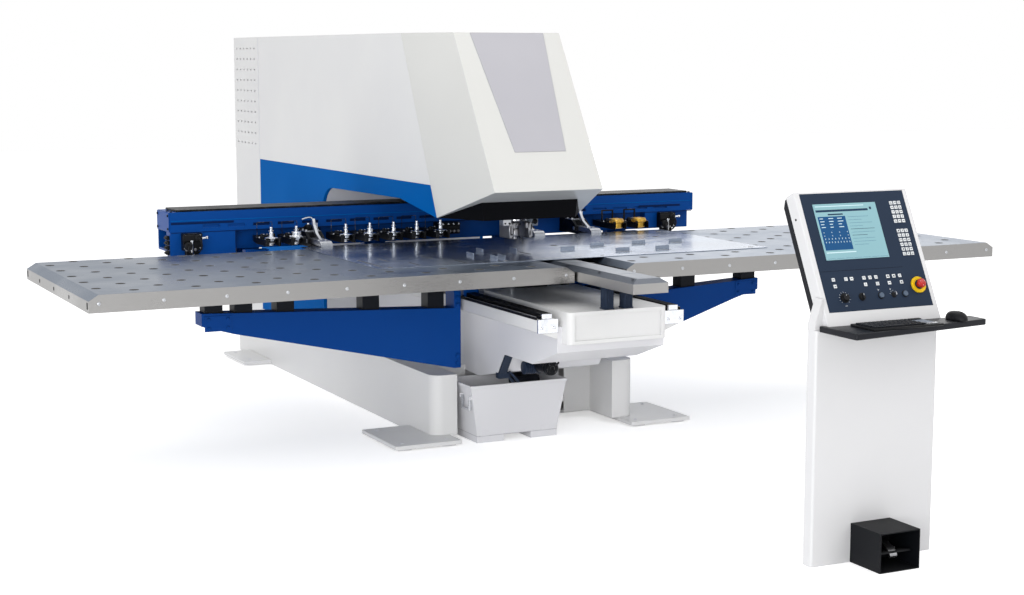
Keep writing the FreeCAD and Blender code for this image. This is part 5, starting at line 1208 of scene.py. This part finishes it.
# the middle table's screws and seams, and the ribbed sleeves on its two posts
middle = {"left": -87, "right": 103, "top": 946, "screwLines": (-64, 80),
          "screwRows": (-1500, -1180, -860, -540, -300),
          "seams": (-1330, -700), "posts": (-45, 60), "postLine": -1235, "sleeveLow": 767, "sleeveTop": 875,
          "collar": 7, "ribShifts": (-16, -5.5, 5, 15.5), "ribHalf": 2.5}


def makeMiddle():
    screws, lines, sleeves = Shape(), Shape(), Shape()
    top, line, ribHalf = middle["top"], middle["postLine"], middle["ribHalf"]
    for x, y in itertools.product(middle["screwLines"], middle["screwRows"]):
        lathe(screws, spot(x, y, top), [(8.5, 0), (8.5, 0.4), (3.5, 0.4), (3.5, 0.1), (0, 0.1)], 20)
    for y in middle["seams"]:
        between(lines, (middle["left"] + 4, y - 1, top), (middle["right"] - 4, y + 1, top + 0.2), 0.05)
    low, high = middle["sleeveLow"], middle["sleeveTop"]
    ribLow, ribHigh = low + middle["collar"], high - middle["collar"]
    for x in middle["posts"]:
        for z0, z1, half in ((low, high, 24), (low, ribLow, 27), (ribHigh, high, 27)):
            between(sleeves, (x - half, line - half, z0), (x + half, line + half, z1), 2)
        for shift in middle["ribShifts"]:
            across, along = x + shift, line + shift
            between(sleeves, (across - ribHalf, line - 27, ribLow), (across + ribHalf, line - 23, ribHigh), 1)
            between(sleeves, (x - 27, along - ribHalf, ribLow), (x - 23, along + ribHalf, ribHigh), 1)
    piece("postSleeves", sleeves, "slatePaint", "root")
    piece("middleScrews", screws, "blackSteel", "root")
    piece("middleSeams", lines, "grooveBlack", "root")


makeMiddle()
print("middle table dressed")

# the cabinet's back: two doors with locks and hinges, louvres and cable glands
cabinet = {"rear": 2866, "doorLow": 372, "doorTop": 2060, "doorInner": 8, "doorOuter": 585, "doorThick": 14,
           "lockHeights": (800, 1280, 1760), "lockMargin": 40,
           "hingeHeights": (560, 1216, 1872), "louvreCount": 9, "louvrePitch": 26, "louvreLow": 480,
           "glandCount": 4, "glandPitch": 60, "seam": (2349, 2362)}


def makeDoors():
    panels, locks, hinges = Shape(), Shape(), Shape()
    rear, face = cabinet["rear"], cabinet["rear"] + cabinet["doorThick"]
    for side in (-1, 1):
        inner, outer = cabinet["doorInner"] * side, cabinet["doorOuter"] * side
        between(panels, (inner, rear - 1, cabinet["doorLow"]), (outer, face, cabinet["doorTop"]), 3)
        for z in cabinet["lockHeights"]:
            lathe(locks, alongAxis(at(inner + cabinet["lockMargin"] * side, face, z), (0, 1, 0)),
                  [(0, 0), (16, 0), (17, 2), (17, 6), (11, 8), (11, 4), (0, 4)], 24)
        x, y = outer - 2 * side, face + 2
        for z in cabinet["hingeHeights"]:
            rod(hinges, at(x, y, z - 35), at(x, y, z + 35), 9, 16)
            rod(hinges, at(x, y, z + 37), at(x, y, z + 60), 9, 16)
    piece("rearDoors", panels, "whitePaint", "root")
    piece("doorLocks", locks, "blackPlastic", "root")
    piece("doorHinges", hinges, "brightSteel", "root")
    louvres, glands = Shape(), Shape()
    for i, side in itertools.product(range(cabinet["louvreCount"]), (-1, 1)):
        z = cabinet["louvreLow"] + i * cabinet["louvrePitch"]
        between(louvres, (160 * side, face - 1, z), (430 * side, face + 4, z + 12), 2)
    piece("rearLouvres", louvres, "greyPaint", "root")
    for i in range(cabinet["glandCount"]):
        x = -90 + i * cabinet["glandPitch"]
        lathe(glands, alongAxis(at(x, rear - 2, 250), (0, 1, 0)),
              [(0, 0), (24, 0), (24, 10), (18, 13), (18, 28), (10, 30), (0, 30)], 6)
    piece("cableGlands", glands, "blackPlastic", "root")


def makeSeams():
    # the joint between the cabinet and the machine's side panels
    strips = Shape()
    front, back = cabinet["seam"]
    for side in (-1, 1):
        between(strips, (599.4 * side, front, 350), (600.8 * side, back, 2095), 0.4)
    piece("cabinetSeam", strips, "greyPaint", "root")


makeDoors()
makeSeams()
print("covers dressed")

# the operator's panel: places on it run along its foot, up its lean and out of its face
panel = {"left": -133, "foot": -3120, "low": 997, "lean": 26.1}


def panelPlace():
    lean = math.radians(panel["lean"])
    across = Vector((1, 0, 0))
    up = Vector((0, math.sin(lean), math.cos(lean)))
    out = Vector((0, -math.cos(lean), math.sin(lean)))
    turn = Matrix((across, up, out)).transposed().to_4x4()
    return Matrix.Translation(at(panel["left"], panel["foot"], panel["low"])) @ turn


def onPanel(shape, x0, y0, x1, y1, low, high, edge):
    # a flat block on the panel
    between(shape, (x0, y0, low), (x1, y1, high), edge, panelPlace())


# the display's made-up picture: a pale page with a blue window of rows and ticks, and plain list lines
# bands of ticks in the window: row, count, height
display = {"left": 49, "low": 211, "width": 302, "height": 233, "face": 2.2, "sheet": 0.25,
           "fields": ((0, 22), (1, 26), (2, 28)), "fieldRows": 4,
           "ticks": ((0, 4, 4), (1, 4, 4), (2, 8, 6), (3, 9, 6)),
           "listRows": 10, "heavyRows": (4, 6), "footMarks": 7}


def makeDisplay():
    left, low, width, height, face = (display[key] for key in ("left", "low", "width", "height", "face"))
    pale, blue, white, dark = Shape(), Shape(), Shape(), Shape()

    def tile(shape, x0, y0, x1, y1, lift=0.0):
        onPanel(shape, left + x0, low + y0, left + x1, low + y1, face, face + display["sheet"] + lift, 0.1)

    tile(pale, 0, 0, width, height)
    tile(dark, 6, height - 34, width - 44, height - 25, 0.15)
    tile(dark, width - 36, height - 30, width - 26, height - 19, 0.15)
    tile(dark, 60, height - 48, 132, height - 42, 0.15)
    tile(white, 8, height - 12, width - 60, height - 9, 0.15)
    tile(blue, 8, 40, 140, 180, 0.15)
    for row, (column, wide) in itertools.product(range(display["fieldRows"]), display["fields"]):
        x, y = 16 + column * 42, 170 - row * 12
        tile(white, x, y, x + rng.uniform(0.5, 1.0) * wide, y + 3, 0.3)
    for row, count, tall in display["ticks"]:
        for i in range(count):
            x, y = 20 + i * 112 / (count - 1), 112 - row * 14
            tile(white, x - 1.2, y, x + 1.2, y + tall, 0.3)
    for row in range(display["listRows"]):
        y = height - 58 - row * 13
        look, thick = (dark, 1.8) if row in display["heavyRows"] else (blue, 0.9)
        tile(look, 152, y, 152 + rng.uniform(60, 124), y + thick, 0.15)
    for i in range(display["footMarks"]):
        tile(blue, 8 + i * 42, 5, 44 + i * 42, 5.8, 0.15)
    tile(white, 8, 28, 150, 32, 0.15)
    piece("displayGround", pale, "displayPale", "root")
    piece("displayBars", blue, "displayBlue", "root")
    piece("displayFields", white, "displayWhite", "root")
    piece("displayWindow", dark, "displayDark", "root")


# the controls' places along the panel's low row, the emergency stop's place, and the keys' left and low edges
controls = {"row": 55, "dial": 88, "mode": 171, "start": 262, "key": 325, "halt": 379, "stop": (453, 87)}
keys = {"size": 14, "top": 2.7, "ink": 0.12, "pitch": 19.5,
        "upper": (124, (49, 109, 136, 195, 224, 253, 311, 340, 369)),
        "lower": (97, (50, 195, 253, 311, 370)), "blocks": ((352, 5), (213, 6)),
        "blockLeft": 422, "columns": 3}
# the bars that make each kind of glyph, from the key's middle
glyphs = (((-4, -1.2, 4, 1.2),), ((-1.2, -4, 1.2, 4),), ((-3, -3, 3, 3),),
          ((-4, -3.4, 4, -1.6), (-4, 1.2, 1, 3)))


def controlPlace(along, up):
    return panelPlace() @ Matrix.Translation(Vector((along, up, 0)) / 1000)


def makeSpokes(shape, along, angles, reach, size):
    # short strokes round a control, all pointing at its middle
    for angle in (math.radians(degrees) for degrees in angles):
        out = Vector((reach * math.sin(angle), reach * math.cos(angle), 0.1)) / 1000
        spoke = controlPlace(along, controls["row"]) @ Matrix.Translation(out)
        block(shape, (0, 0, 0), size, 0.05, spoke @ Matrix.Rotation(-angle, 4, "Z"))


def makePanelMarks():
    marks, keysInk, seam, rims, yellow = Shape(), Shape(), Shape(), Shape(), Shape()
    onPanel(seam, 0, 166, 402, 167.2, 0, 0.12, 0.04)
    makeSpokes(marks, controls["dial"], range(-135, 136, 27), 24, (1.2, 5, 0.2))
    makeSpokes(marks, controls["key"], range(-76, 77, 38), 17, (1.4, 4, 0.2))
    for x0, y0, x1, y1 in ((252, 78, 260, 79.6), (255, 75, 257, 82), (310, 78, 318, 79.6), (313, 75, 315, 82),
                           (83, 22, 93, 24)):
        onPanel(marks, x0, y0, x1, y1, 0, 0.15, 0.05)
    corners = [(along, low) for low, row in (keys["upper"], keys["lower"]) for along in row]
    for low, rows in keys["blocks"]:
        for i, j in itertools.product(range(keys["columns"]), range(rows)):
            corners.append((keys["blockLeft"] + keys["pitch"] * i, low + keys["pitch"] * j))
    for left, low in corners:
        along, up = left + keys["size"] / 2, low + keys["size"] / 2
        for x0, y0, x1, y1 in glyphs[rng.randrange(len(glyphs))]:
            onPanel(keysInk, along + x0, up + y0, along + x1, up + y1, keys["top"], keys["top"] + keys["ink"],
                    0.03)
    for name, radius in (("dial", 19.5), ("mode", 15.5), ("start", 13.5), ("key", 11.8), ("halt", 13.5)):
        lathe(rims, controlPlace(controls[name], controls["row"]),
              [(radius - 2, 0), (radius, 0), (radius + 0.6, 0.8), (radius, 2), (radius - 2, 2.2)], 28)
    lathe(yellow, controlPlace(*controls["stop"]),
          [(19.5, 0), (32.5, 0), (33.5, 1), (33.5, 7.5), (32, 9), (21.5, 9), (19.5, 7.8)], 44)
    piece("panelLines", marks, "markWhite", "root")
    piece("keyGlyphs", keysInk, "blackPlastic", "root")
    piece("panelSeam", seam, "boxBlack", "root", "black_plastic")
    piece("controlRims", rims, "blackPlastic", "root")
    piece("stopCollar", yellow, "yellowPlastic", "root")


def makeControls():
    # the working controls, each on its own body
    cap, arrows = Shape(), Shape()
    place = controlPlace(*controls["stop"])
    lathe(cap, place, [(0, 5.8), (11.2, 5.8), (11.2, 15.5), (16.5, 18.5), (18.5, 21), (18.9, 25.5),
                       (17.8, 30), (14.5, 32.7), (9, 34), (0, 34.3)], 44)
    stop = piece("stopMushroom", cap, "redPlastic", "stop_button")
    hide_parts("stop_button")
    for turned in turnsOf(place, 3):
        block(arrows, (11.2, 0, 33.6), (5, 1.2, 0.6), 0.2, turned @ Matrix.Rotation(0.5, 4, "Z"))
    piece("stopArrows", arrows, "markWhite", "stop_button")
    dial, pointer = Shape(), Shape()
    place = controlPlace(controls["dial"], controls["row"])
    lathe(dial, place, [(0, 0.6), (16.2, 0.6), (16.8, 1.6), (16.8, 5), (14.5, 6.5), (13.5, 14.5),
                        (12, 15.7), (0, 15.8)], 36)
    for turned in turnsOf(place, 24):
        block(dial, (13.9, 0, 10.5), (1.2, 1.6, 7.6), 0.3, turned)
    block(pointer, (0, 7.5, 15.8), (1.4, 7.5, 0.5), 0.1, place)
    made = piece("dialCap", dial, "blackPlastic", "override_dial")
    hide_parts("override_dial")
    piece("dialPointer", pointer, "markWhite", "override_dial")
    knob, line = Shape(), Shape()
    place = controlPlace(controls["mode"], controls["row"])
    lathe(knob, place, [(0, 0.6), (12.2, 0.6), (12.8, 1.4), (12.8, 6), (11.5, 7), (0, 7.2)], 32)
    block(knob, (0, 0, 10.8), (6.2, 23.5, 7.8), 1.2, place)
    block(line, (0, 6.2, 14.8), (1.3, 8.5, 0.4), 0.1, place)
    made = piece("knobCap", knob, "blackPlastic", "mode_knob")
    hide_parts("mode_knob")
    piece("knobLine", line, "markWhite", "mode_knob")
    for name, label, along in (("start_button", "startCap", controls["start"]),
                               ("halt_button", "haltCap", controls["halt"])):
        button = Shape()
        lathe(button, controlPlace(along, controls["row"]),
              [(0, 3.4), (10.5, 3.4), (10.8, 4.2), (10.8, 7.8), (9.8, 9), (8, 8.8), (0, 8.3)], 32)
        made = piece(label, button, "buttonPlastic", name, "grey_paint")
        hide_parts(name)
    lock, blade = Shape(), Shape()
    place = controlPlace(controls["key"], controls["row"])
    lathe(lock, place, [(0, 0.6), (8.6, 0.6), (8.9, 1.2), (8.9, 3.6), (7.8, 4.6), (2, 4.7),
                        (2, 3), (0, 3)], 30)
    block(blade, (0, 0, 11), (2.2, 13, 15.5), 0.8, place)
    made = piece("keyBarrel", lock, "blackPlastic", "key_switch", "chrome")
    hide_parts("key_switch")
    piece("keyBlade", blade, "brightSteel", "key_switch")


# the console's head: a white front shell and a black back shell, with profiles drawn up and out of the panel
shell = {"left": -22, "right": 524, "depth": 60, "back": 92, "face": -0.6, "top": 500, "tan": 0.49,
         "foot": -74.6, "inset": 2, "hole": (395, -30)}


def makeShell():
    def footAt(out):
        return shell["foot"] - out * shell["tan"]

    turned = panelPlace() @ throughX
    top, face, depth, back = shell["top"], shell["face"], shell["depth"], shell["back"]
    front = [(footAt(face), face), (top - 5, face), (top, face - 7), (top, -depth), (footAt(-depth), -depth)]
    rear = [(footAt(-depth), -depth), (top - 3, -depth), (top - 5, -depth - 12), (top - 32, -back),
            (footAt(-back), -back)]
    for name, outline, inset, look in (("frontShell", front, 0, "consolePaint"),
                                       ("rearShell", rear, shell["inset"], "shelfPlastic")):
        form = Shape()
        wall(form, outline, shell["left"] + inset, shell["right"] - shell["left"] - 2 * inset, turned)
        half = piece(name, form, look, "root")
        roundEdges(half, 4.5, 3)
    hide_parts("console_housing")
    holes = Shape()
    for side, facing in ((shell["left"], -1), (shell["right"], 1)):
        place = alongAxis(panelPlace() @ (Vector((side, *shell["hole"])) / 1000), (facing, 0, 0))
        lathe(holes, place, [(5, 0), (5, 0.6), (3, 0.6), (3, 0.2), (0, 0.2)], 14)
    piece("shellHoles", holes, "boxBlack", "root", "black_steel")


# the pillar's neck that closes up to the shell, its outline drawn in X and Z
neck = {"outline": ((-193, 929), (393, 929), (393, 985), (-156, 985), (-156, 1052), (-162, 1046),
                    (-192, 952)), "front": -3110, "depth": 48}


def makeNeck():
    form = Shape()
    wall(form, neck["outline"], -neck["depth"], neck["depth"], spot(0, neck["front"], 0) @ throughY)
    piece("pillarNeck", form, "consolePaint", "root")


makeNeck()
makeDisplay()
makePanelMarks()
makeControls()
makeShell()
print("console dressed")


# the keyboard with a pointing pad beside its keys; a wide key has its row, its place in the row and its width
keyboard = {"left": -75, "front": -3323.2, "width": 330, "depth": 150, "top": 950, "base": 8.4, "rows": 5,
            "rowPitch": 25.5, "firstRow": 14, "keyLeft": 9, "keysEnd": 250, "key": 16.6, "gap": 2.4,
            "keyRise": 6.6, "keyDeep": 16.4, "lastRowDeep": 13.12,
            "wideKeys": {(0, 3): 92, (1, 0): 24, (2, 0): 24}, "padLeft": 262}


def makeKeyboard():
    tray, caps, pad, buttons = Shape(), Shape(), Shape(), Shape()
    left, front, top = keyboard["left"], keyboard["front"], keyboard["top"]
    base, end, lastRow = top + keyboard["base"], left + keyboard["keysEnd"], keyboard["rows"] - 1
    between(tray, (left, front, top), (left + keyboard["width"], front + keyboard["depth"], top + 9), 3)
    for row in range(keyboard["rows"]):
        x, y = left + keyboard["keyLeft"], front + keyboard["firstRow"] + row * keyboard["rowPitch"]
        deep = keyboard["lastRowDeep"] if row == lastRow else keyboard["keyDeep"]
        count = 0
        while x < end - 4:
            wide = min(keyboard["wideKeys"].get((row, count), keyboard["key"]), end - x)
            between(caps, (x, y, base), (x + wide, y + deep, base + keyboard["keyRise"]), 1.6)
            x += wide + keyboard["gap"]
            count += 1
    padLeft = left + keyboard["padLeft"]
    between(pad, (padLeft, front + 40, base), (padLeft + 56, front + 112, top + 10.6), 1)
    for x in (padLeft + 1, padLeft + 29):
        between(buttons, (x, front + 18, base), (x + 26, front + 34, top + 12), 1.2)
        between(caps, (x, front + 119, base), (x + 26, front + 136, top + 14), 1.4)
    board = piece("keyboardTray", tray, "blackPlastic", "root")
    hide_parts("keyboard")
    piece("keyboardKeys", caps, "shelfPlastic", "root")
    piece("pointerPad", pad, "greyPlastic", "root", "grey_paint")
    piece("pointerButtons", buttons, "brightSteel", "root")


mouse = {"place": (395, -3229.2, 950), "half": (30.5, 55.5, 35.5), "wheel": 6.5}


def makeMouse():
    body, wheel = Shape(), Shape()
    x, y, z = mouse["place"]
    # the profile's greatest radius and height are 1, so the half sizes stretch it
    lathe(body, spot(x, y, z) @ Matrix.Diagonal((*mouse["half"], 1.0)),
          [(0, 0), (0.93, 0), (0.99, 0.05), (1, 0.2), (0.965, 0.42), (0.86, 0.66), (0.68, 0.85),
           (0.42, 0.96), (0.2, 0.995), (0, 1)], 40)
    made = piece("mouseShell", body, "blackPlastic", "root", crease=60)
    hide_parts("mouse")
    rod(wheel, at(x - 3, y - 26, z + 29.5), at(x + 3, y - 26, z + 29.5), mouse["wheel"], 20)
    block(wheel, (0, 0, 0), (0.6, 44, 1.2), 0.2, spot(x, y - 31, z + 29.4) @ Matrix.Rotation(0.42, 4, "X"))
    piece("mouseWheel", wheel, "rubber", "root")


# the shelf: a board with rounded front corners, a wing beside the pillar, and the flat cleat that carries it
shelf = {"left": -180, "right": 525, "front": -3353, "skew": 95, "back": -3153.6, "top": 950, "thick": 24,
         "corner": 12, "cornerSteps": 6, "edge": 4, "wing": -157, "wingBack": -3121, "cleat": 8}


def makeShelf():
    outline = []
    corner, low = shelf["corner"], shelf["top"] - shelf["thick"]
    fronts = ((shelf["left"], shelf["front"], 180), (shelf["right"], shelf["front"] + shelf["skew"], 270))
    for x, y, start in fronts:
        inward = corner if x < 0 else -corner
        lift = corner * (1 + shelf["skew"] / (shelf["right"] - shelf["left"]))
        for i in range(shelf["cornerSteps"] + 1):
            angle = math.radians(start + 90 * i / shelf["cornerSteps"])
            outline.append((x + inward + corner * math.cos(angle), y + lift + corner * math.sin(angle)))
    outline += [(shelf["right"], shelf["back"]), (shelf["wing"], shelf["back"]),
                (shelf["wing"], shelf["wingBack"]), (shelf["left"], shelf["wingBack"])]
    board, cleat = Shape(), Shape()
    wall(board, outline, low, shelf["thick"], machine)
    made = piece("shelfBoard", board, "shelfPlastic", "root")
    roundEdges(made, shelf["edge"], 3, 50)
    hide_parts("console_shelf")
    between(cleat, (-133, shelf["back"] - 20, low - shelf["cleat"]), (335, shelf["wingBack"], low), 2)
    piece("shelfCleat", cleat, "blackSteel", "root", "black_plastic")


makeKeyboard()
makeMouse()
makeShelf()

# the pedal: the treadle's ribs, cheeks and lever (a side outline in Y and Z), the return spring and a gland
pedal = {"centre": 89, "half": 79, "pivotLine": -3154, "pivotHeight": 26, "run": 88, "rise": 18, "ribs": 9,
         "springTurns": 6, "springPitch": 0.72, "springRadius": 8.5,
         "lever": ((-3158, 124), (-3250, 84), (-3272, 68), (-3278, 54), (-3270, 44), (-3264, 46), (-3268, 56),
                   (-3260, 66), (-3244, 76), (-3156, 112))}


def makePedal():
    treads, plates, spring, lever, gland = Shape(), Shape(), Shape(), Shape(), Shape()
    centre, half = pedal["centre"], pedal["half"]
    pivotLine, pivotHeight = pedal["pivotLine"], pedal["pivotHeight"]
    slope = Matrix.Rotation(-math.atan2(pedal["rise"], pedal["run"]), 4, "X")
    for i in range(pedal["ribs"]):
        share = (i + 0.6) / pedal["ribs"]
        place = spot(centre, pivotLine - 30 - pedal["run"] * share, pivotHeight + 26 + pedal["rise"] * share)
        block(treads, (0, 0, 0.8), (2 * half - 14, 4.2, 3.4), 0.8, place @ slope)
    for side in (-1, 1):
        x = centre + (half - 2.4) * side
        between(plates, (x - 2, pivotLine - 26, pivotHeight + 14), (x + 2, pivotLine + 14, pivotHeight + 30),
                1)
    piece("treadleRibs", treads, "rubber", "foot_pedal")
    piece("treadleCheeks", plates, "toolSteel", "foot_pedal")
    coil = []
    steps, radius = 12, pedal["springRadius"]
    for i in range(steps * pedal["springTurns"] + 1):
        angle = math.tau * i / steps
        coil.append(at(4.5 + i * pedal["springPitch"] / steps, pivotLine + radius * math.cos(angle),
                       pivotHeight + radius * math.sin(angle)))
    tube(spring, coil, 0.9, 6)
    piece("pedalSpring", spring, "brightSteel", "root")
    wall(lever, pedal["lever"], 66, 34, machine @ throughX)
    piece("treadleLever", lever, "toolSteel", "foot_pedal")
    lathe(gland, alongAxis(at(140, -3120, 60), (0, 1, 0)),
          [(0, -1), (14, -1), (14, 6), (10, 8), (10, 20), (6, 22), (0, 22)], 6)
    piece("pedalGland", gland, "blackPlastic", "root")


makePedal()
print("shelf and pedal dressed")

# the scrap bin, and the chute's flap with its cylinder
scrap = {"left": -442, "right": 112, "front": -530, "back": -230, "top": 300, "rim": 15,
         "padLines": (-388, -40)}
chute = {"boltLines": (-142, -8), "line": -105, "height": 408, "front": -777, "bandLines": (-760, -655),
         "pipe": 5, "roller": (-192, -626, 393), "ribCount": 9, "ribPitch": 13, "ribbedLength": 118,
         "flap": ((-546, 352), (-556, 352), (-641, 468), (-629, 468)),
         "bar": ((-272, 366), (-262, 372), (-208, 314), (-218, 306))}


def makeBin():
    rim, welds, groove = Shape(), Shape(), Shape()
    left, right, front, back, top = (scrap[key] for key in ("left", "right", "front", "back", "top"))
    low = top - scrap["rim"]
    between(rim, (left - 3, front - 3, low), (right + 3, front + 2, top), 1.2)
    for x in (left, right):
        between(rim, (x - 3, front, low), (x + 3, back, top), 1.2)
    piece("binRim", rim, "greyPaint", "root")
    for x in scrap["padLines"]:
        between(welds, (x, front - 1.6, 36), (x + 46, front + 0.4, 60), 0.6)
    between(groove, (left + 34, front - 0.5, 34), (right - 58, front + 0.3, 37), 0.2)
    between(groove, (left + 33.2, front, 34), (left + 34.2, back, 37), 0.2)
    piece("binGroove", groove, "insetPaint", "root")
    piece("binPads", welds, "greyPaint", "root")


def makeChute():
    bolts, ends, roller, flap, pipe = Shape(), Shape(), Shape(), Shape(), Shape()
    x, front, height = chute["line"], chute["front"], chute["height"]
    for boltLine in chute["boltLines"]:
        hexHead(bolts, at(boltLine, -94, 286), (0, -1, 0), 14, 7)
    lathe(ends, alongAxis(at(x, front, height), (0, -1, 0)),
          [(0, 0), (30, 0), (31, 1), (31, 7), (24, 9), (12, 9), (12, 5), (0, 5)], 32)
    for i in range(4):
        angle = math.tau * (i + 0.5) / 4
        centre = at(x + 26 * math.cos(angle), front - 7, height + 26 * math.sin(angle))
        socketHead(bolts, centre, (0, -1, 0), 4, 4)
    for y in chute["bandLines"]:
        lathe(ends, alongAxis(at(x, y, height), (0, 1, 0)),
              [(37.2, 0), (39.6, 0), (39.6, 12), (37.2, 12)], 36)
    piece("cylinderCaps", ends, "blackSteel", "root")
    profile = [(0, 0)]
    for i in range(chute["ribCount"]):
        foot = i * chute["ribPitch"]
        profile += [(29, foot + 1), (34, foot + 3), (34, foot + 10), (29, foot + 12)]
    profile += [(0, chute["ribbedLength"])]
    lathe(roller, alongAxis(at(*chute["roller"]), (1, 0, 0)), profile, 28)
    wall(flap, chute["flap"], -299, 45, machine @ throughX)
    between(flap, (-298, -560, 332), (-232, -520, 366), 4)
    for shift, back in ((0, 548), (26, 560)):
        wall(flap, [(across + shift, z) for across, z in chute["bar"]], back, 10, machine @ throughY)
    # the roller and the flap are real parts whose dark paint is also painted shade: they fill the shaded
    # notch under the arm's step
    piece("chuteRoller", roller, "slatePaint", "root")
    piece("chuteFlap", flap, "slatePaint", "root")
    piece("chuteBolts", bolts, "blackSteel", "root")
    for path in (((-72, -752, 420), (-56, -752, 426), (-50, -740, 440), (-50, -720, 462), (-50, -716, 474)),
                 ((-72, -660, 420), (-58, -660, 426), (-52, -656, 440), (-52, -652, 458), (-52, -650, 474))):
        tube(pipe, smoothPath([at(*point) for point in path]), chute["pipe"])
    piece("cylinderPipes", pipe, "blackPlastic", "root")


makeBin()
makeChute()
print("bin and chute dressed")

# foot plates: flat plates on pads, with low screws
feet = {"low": 10, "top": 30, "pad": 38, "screw": 11, "front": -545, "frontBack": -80, "outer": 866,
        "inner": 500, "heel": -90, "under": 237, "hidden": 595.2, "rearOuter": 778, "rearFront": 2200,
        "rearBack": 2650, "frameBack": 2250,
        "screws": ((806, -485), (560, -485), (806, -140), (718, 2290), (718, 2580))}


def makeFeet():
    plates, pads, screws = Shape(), Shape(), Shape()
    low, top, pad = feet["low"], feet["top"], feet["pad"]
    outer, inner, under, hidden = (feet[key] for key in ("outer", "inner", "under", "hidden"))
    front, heel, rearOuter, rearFront = (feet[key] for key in ("front", "heel", "rearOuter", "rearFront"))
    outlines = (
        [(outer, front), (inner, front), (inner, heel + 20), (under, heel + 20), (under, heel + 220),
         (hidden, heel + 220), (hidden, feet["frontBack"]), (outer, feet["frontBack"])],
        [(rearOuter, rearFront), (hidden, rearFront), (under, rearFront - 180), (under, feet["frameBack"]),
         (hidden, feet["rearBack"]), (rearOuter, feet["rearBack"])])
    for side in (-1, 1):
        for outline in outlines:
            wall(plates, [(x * side, y) for x, y in outline], low, top - low, machine)
        for x, y in feet["screws"]:
            between(pads, (x * side - pad, y - pad, 0), (x * side + pad, y + pad, low), 2)
            domeHead(screws, at(x * side, y, top), (0, 0, 1), feet["screw"], 4)
    flatPlates = piece("footPlates", plates, "whitePaint", "root", "grey_paint")
    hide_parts("foot_plates")
    piece("footPads", pads, "greyPaint", "root")
    piece("footScrews", screws, "greyPaint", "root")


makeFeet()
print("feet dressed")

# floor, air and lights: each light's name, place, aim, size, power and colour
white = (1.0, 1.0, 1.0)
studio = {"airSeen": 1.0, "airLight": 0.68, "floorSize": 60.0, "floorGlow": 0.5}
lights = (("keyLight", (4.5, -6.0, 6.5), (0.0, -0.5, 0.8), (5.0, 4.0), 140.0, (1.0, 0.985, 0.96)),
          ("fillLight", (-7.5, -3.5, 4.5), (0.0, 0.0, 0.8), (5.0, 4.0), 95.0, (0.93, 0.96, 1.0)),
          ("topLight", (0.0, 0.5, 7.5), (0.0, 0.0, 0.0), (7.0, 6.0), 110.0, white),
          ("backLight", (5.5, 7.0, 4.5), (0.5, 0.0, 0.9), (6.0, 4.0), 90.0, white),
          ("lowLight", (-6.0, -8.0, 1.6), (0.0, -0.8, 0.5), (7.0, 3.0), 330.0, white))
# the camera that sees what the photograph shows, in metres and radians
photoView = {"lens": 61.52, "sensor": 36.0, "reach": 200.0, "place": (-4.193, -8.2775, 1.957), "down": 0.135,
             "turn": -0.459}


def seenRays(tree):
    # 1 for rays from the camera, in mirrors and through glass, 0 for those that only light
    path = put(tree, "ShaderNodeLightPath").outputs
    direct = work(tree, "MAXIMUM", path["Is Camera Ray"], path["Is Glossy Ray"])
    return work(tree, "MAXIMUM", direct, path["Is Transmission Ray"])


def makeFloor():
    mesh = bpy.data.meshes.new("studioFloor")
    half = studio["floorSize"] / 2
    mesh.from_pydata([(-half, -half, 0), (half, -half, 0), (half, half, 0), (-half, half, 0)], [],
                     [(0, 1, 2, 3)])
    floor = bpy.data.objects.new("studioFloor", mesh)
    bpy.context.scene.collection.objects.link(floor)
    material, tree, shader = startMaterial("studioFloor", Roughness=0.85, Specular_IOR_Level=0.1)
    place = put(tree, "ShaderNodeTexCoord").outputs["Object"]
    grain = put(tree, "ShaderNodeTexNoise", {"Vector": place, "Scale": 3.0, "Detail": 3.0}).outputs["Fac"]
    base = blendColour(tree, grain, (0.93, 0.93, 0.93, 1), (0.91, 0.91, 0.915, 1))
    tree.links.new(base, shader.inputs["Base Color"])
    shader.inputs["Emission Color"].default_value = (*white, 1)
    tree.links.new(work(tree, "MULTIPLY", seenRays(tree), studio["floorGlow"]),
                   shader.inputs["Emission Strength"])
    mesh.materials.append(material)
    floor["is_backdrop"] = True


def makeWorld():
    world = bpy.data.worlds.new("studioAir")
    bpy.context.scene.world = world
    world.use_nodes = True
    tree = world.node_tree
    sky = next(n for n in tree.nodes if n.bl_idname == "ShaderNodeBackground")
    sky.inputs["Color"].default_value = (*white, 1)
    tree.links.new(spread(tree, seenRays(tree), 0.0, 1.0, studio["airLight"], studio["airSeen"]),
                   sky.inputs["Strength"])


def makeLight(name, place, aim, size, power, colour):
    data = bpy.data.lights.new(name, "AREA")
    data.shape = "RECTANGLE"
    data.size, data.size_y = size
    data.energy = power
    data.color = colour
    lamp = bpy.data.objects.new(name, data)
    bpy.context.scene.collection.objects.link(lamp)
    lamp.location = place
    lamp.rotation_euler = (Vector(aim) - Vector(place)).to_track_quat("-Z", "Y").to_euler()
    lamp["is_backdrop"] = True


def makeCamera():
    data = bpy.data.cameras.new("photoView")
    data.lens = photoView["lens"]
    data.sensor_width = photoView["sensor"]
    data.clip_end = photoView["reach"]
    camera = bpy.data.objects.new("photoView", data)
    bpy.context.scene.collection.objects.link(camera)
    camera.location = photoView["place"]
    camera.rotation_euler = (math.pi / 2 - photoView["down"], 0.0, photoView["turn"])
    bpy.context.scene.camera = camera
    camera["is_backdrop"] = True


makeFloor()
makeWorld()
for light in lights:
    makeLight(*light)
makeCamera()
bpy.context.scene.view_settings.view_transform = "Standard"
print("studio made")

# sizes of the CAD box and of the finished look
plain = [[[float(v) for v in corner] for corner in box] for box in (cadBox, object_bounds())]
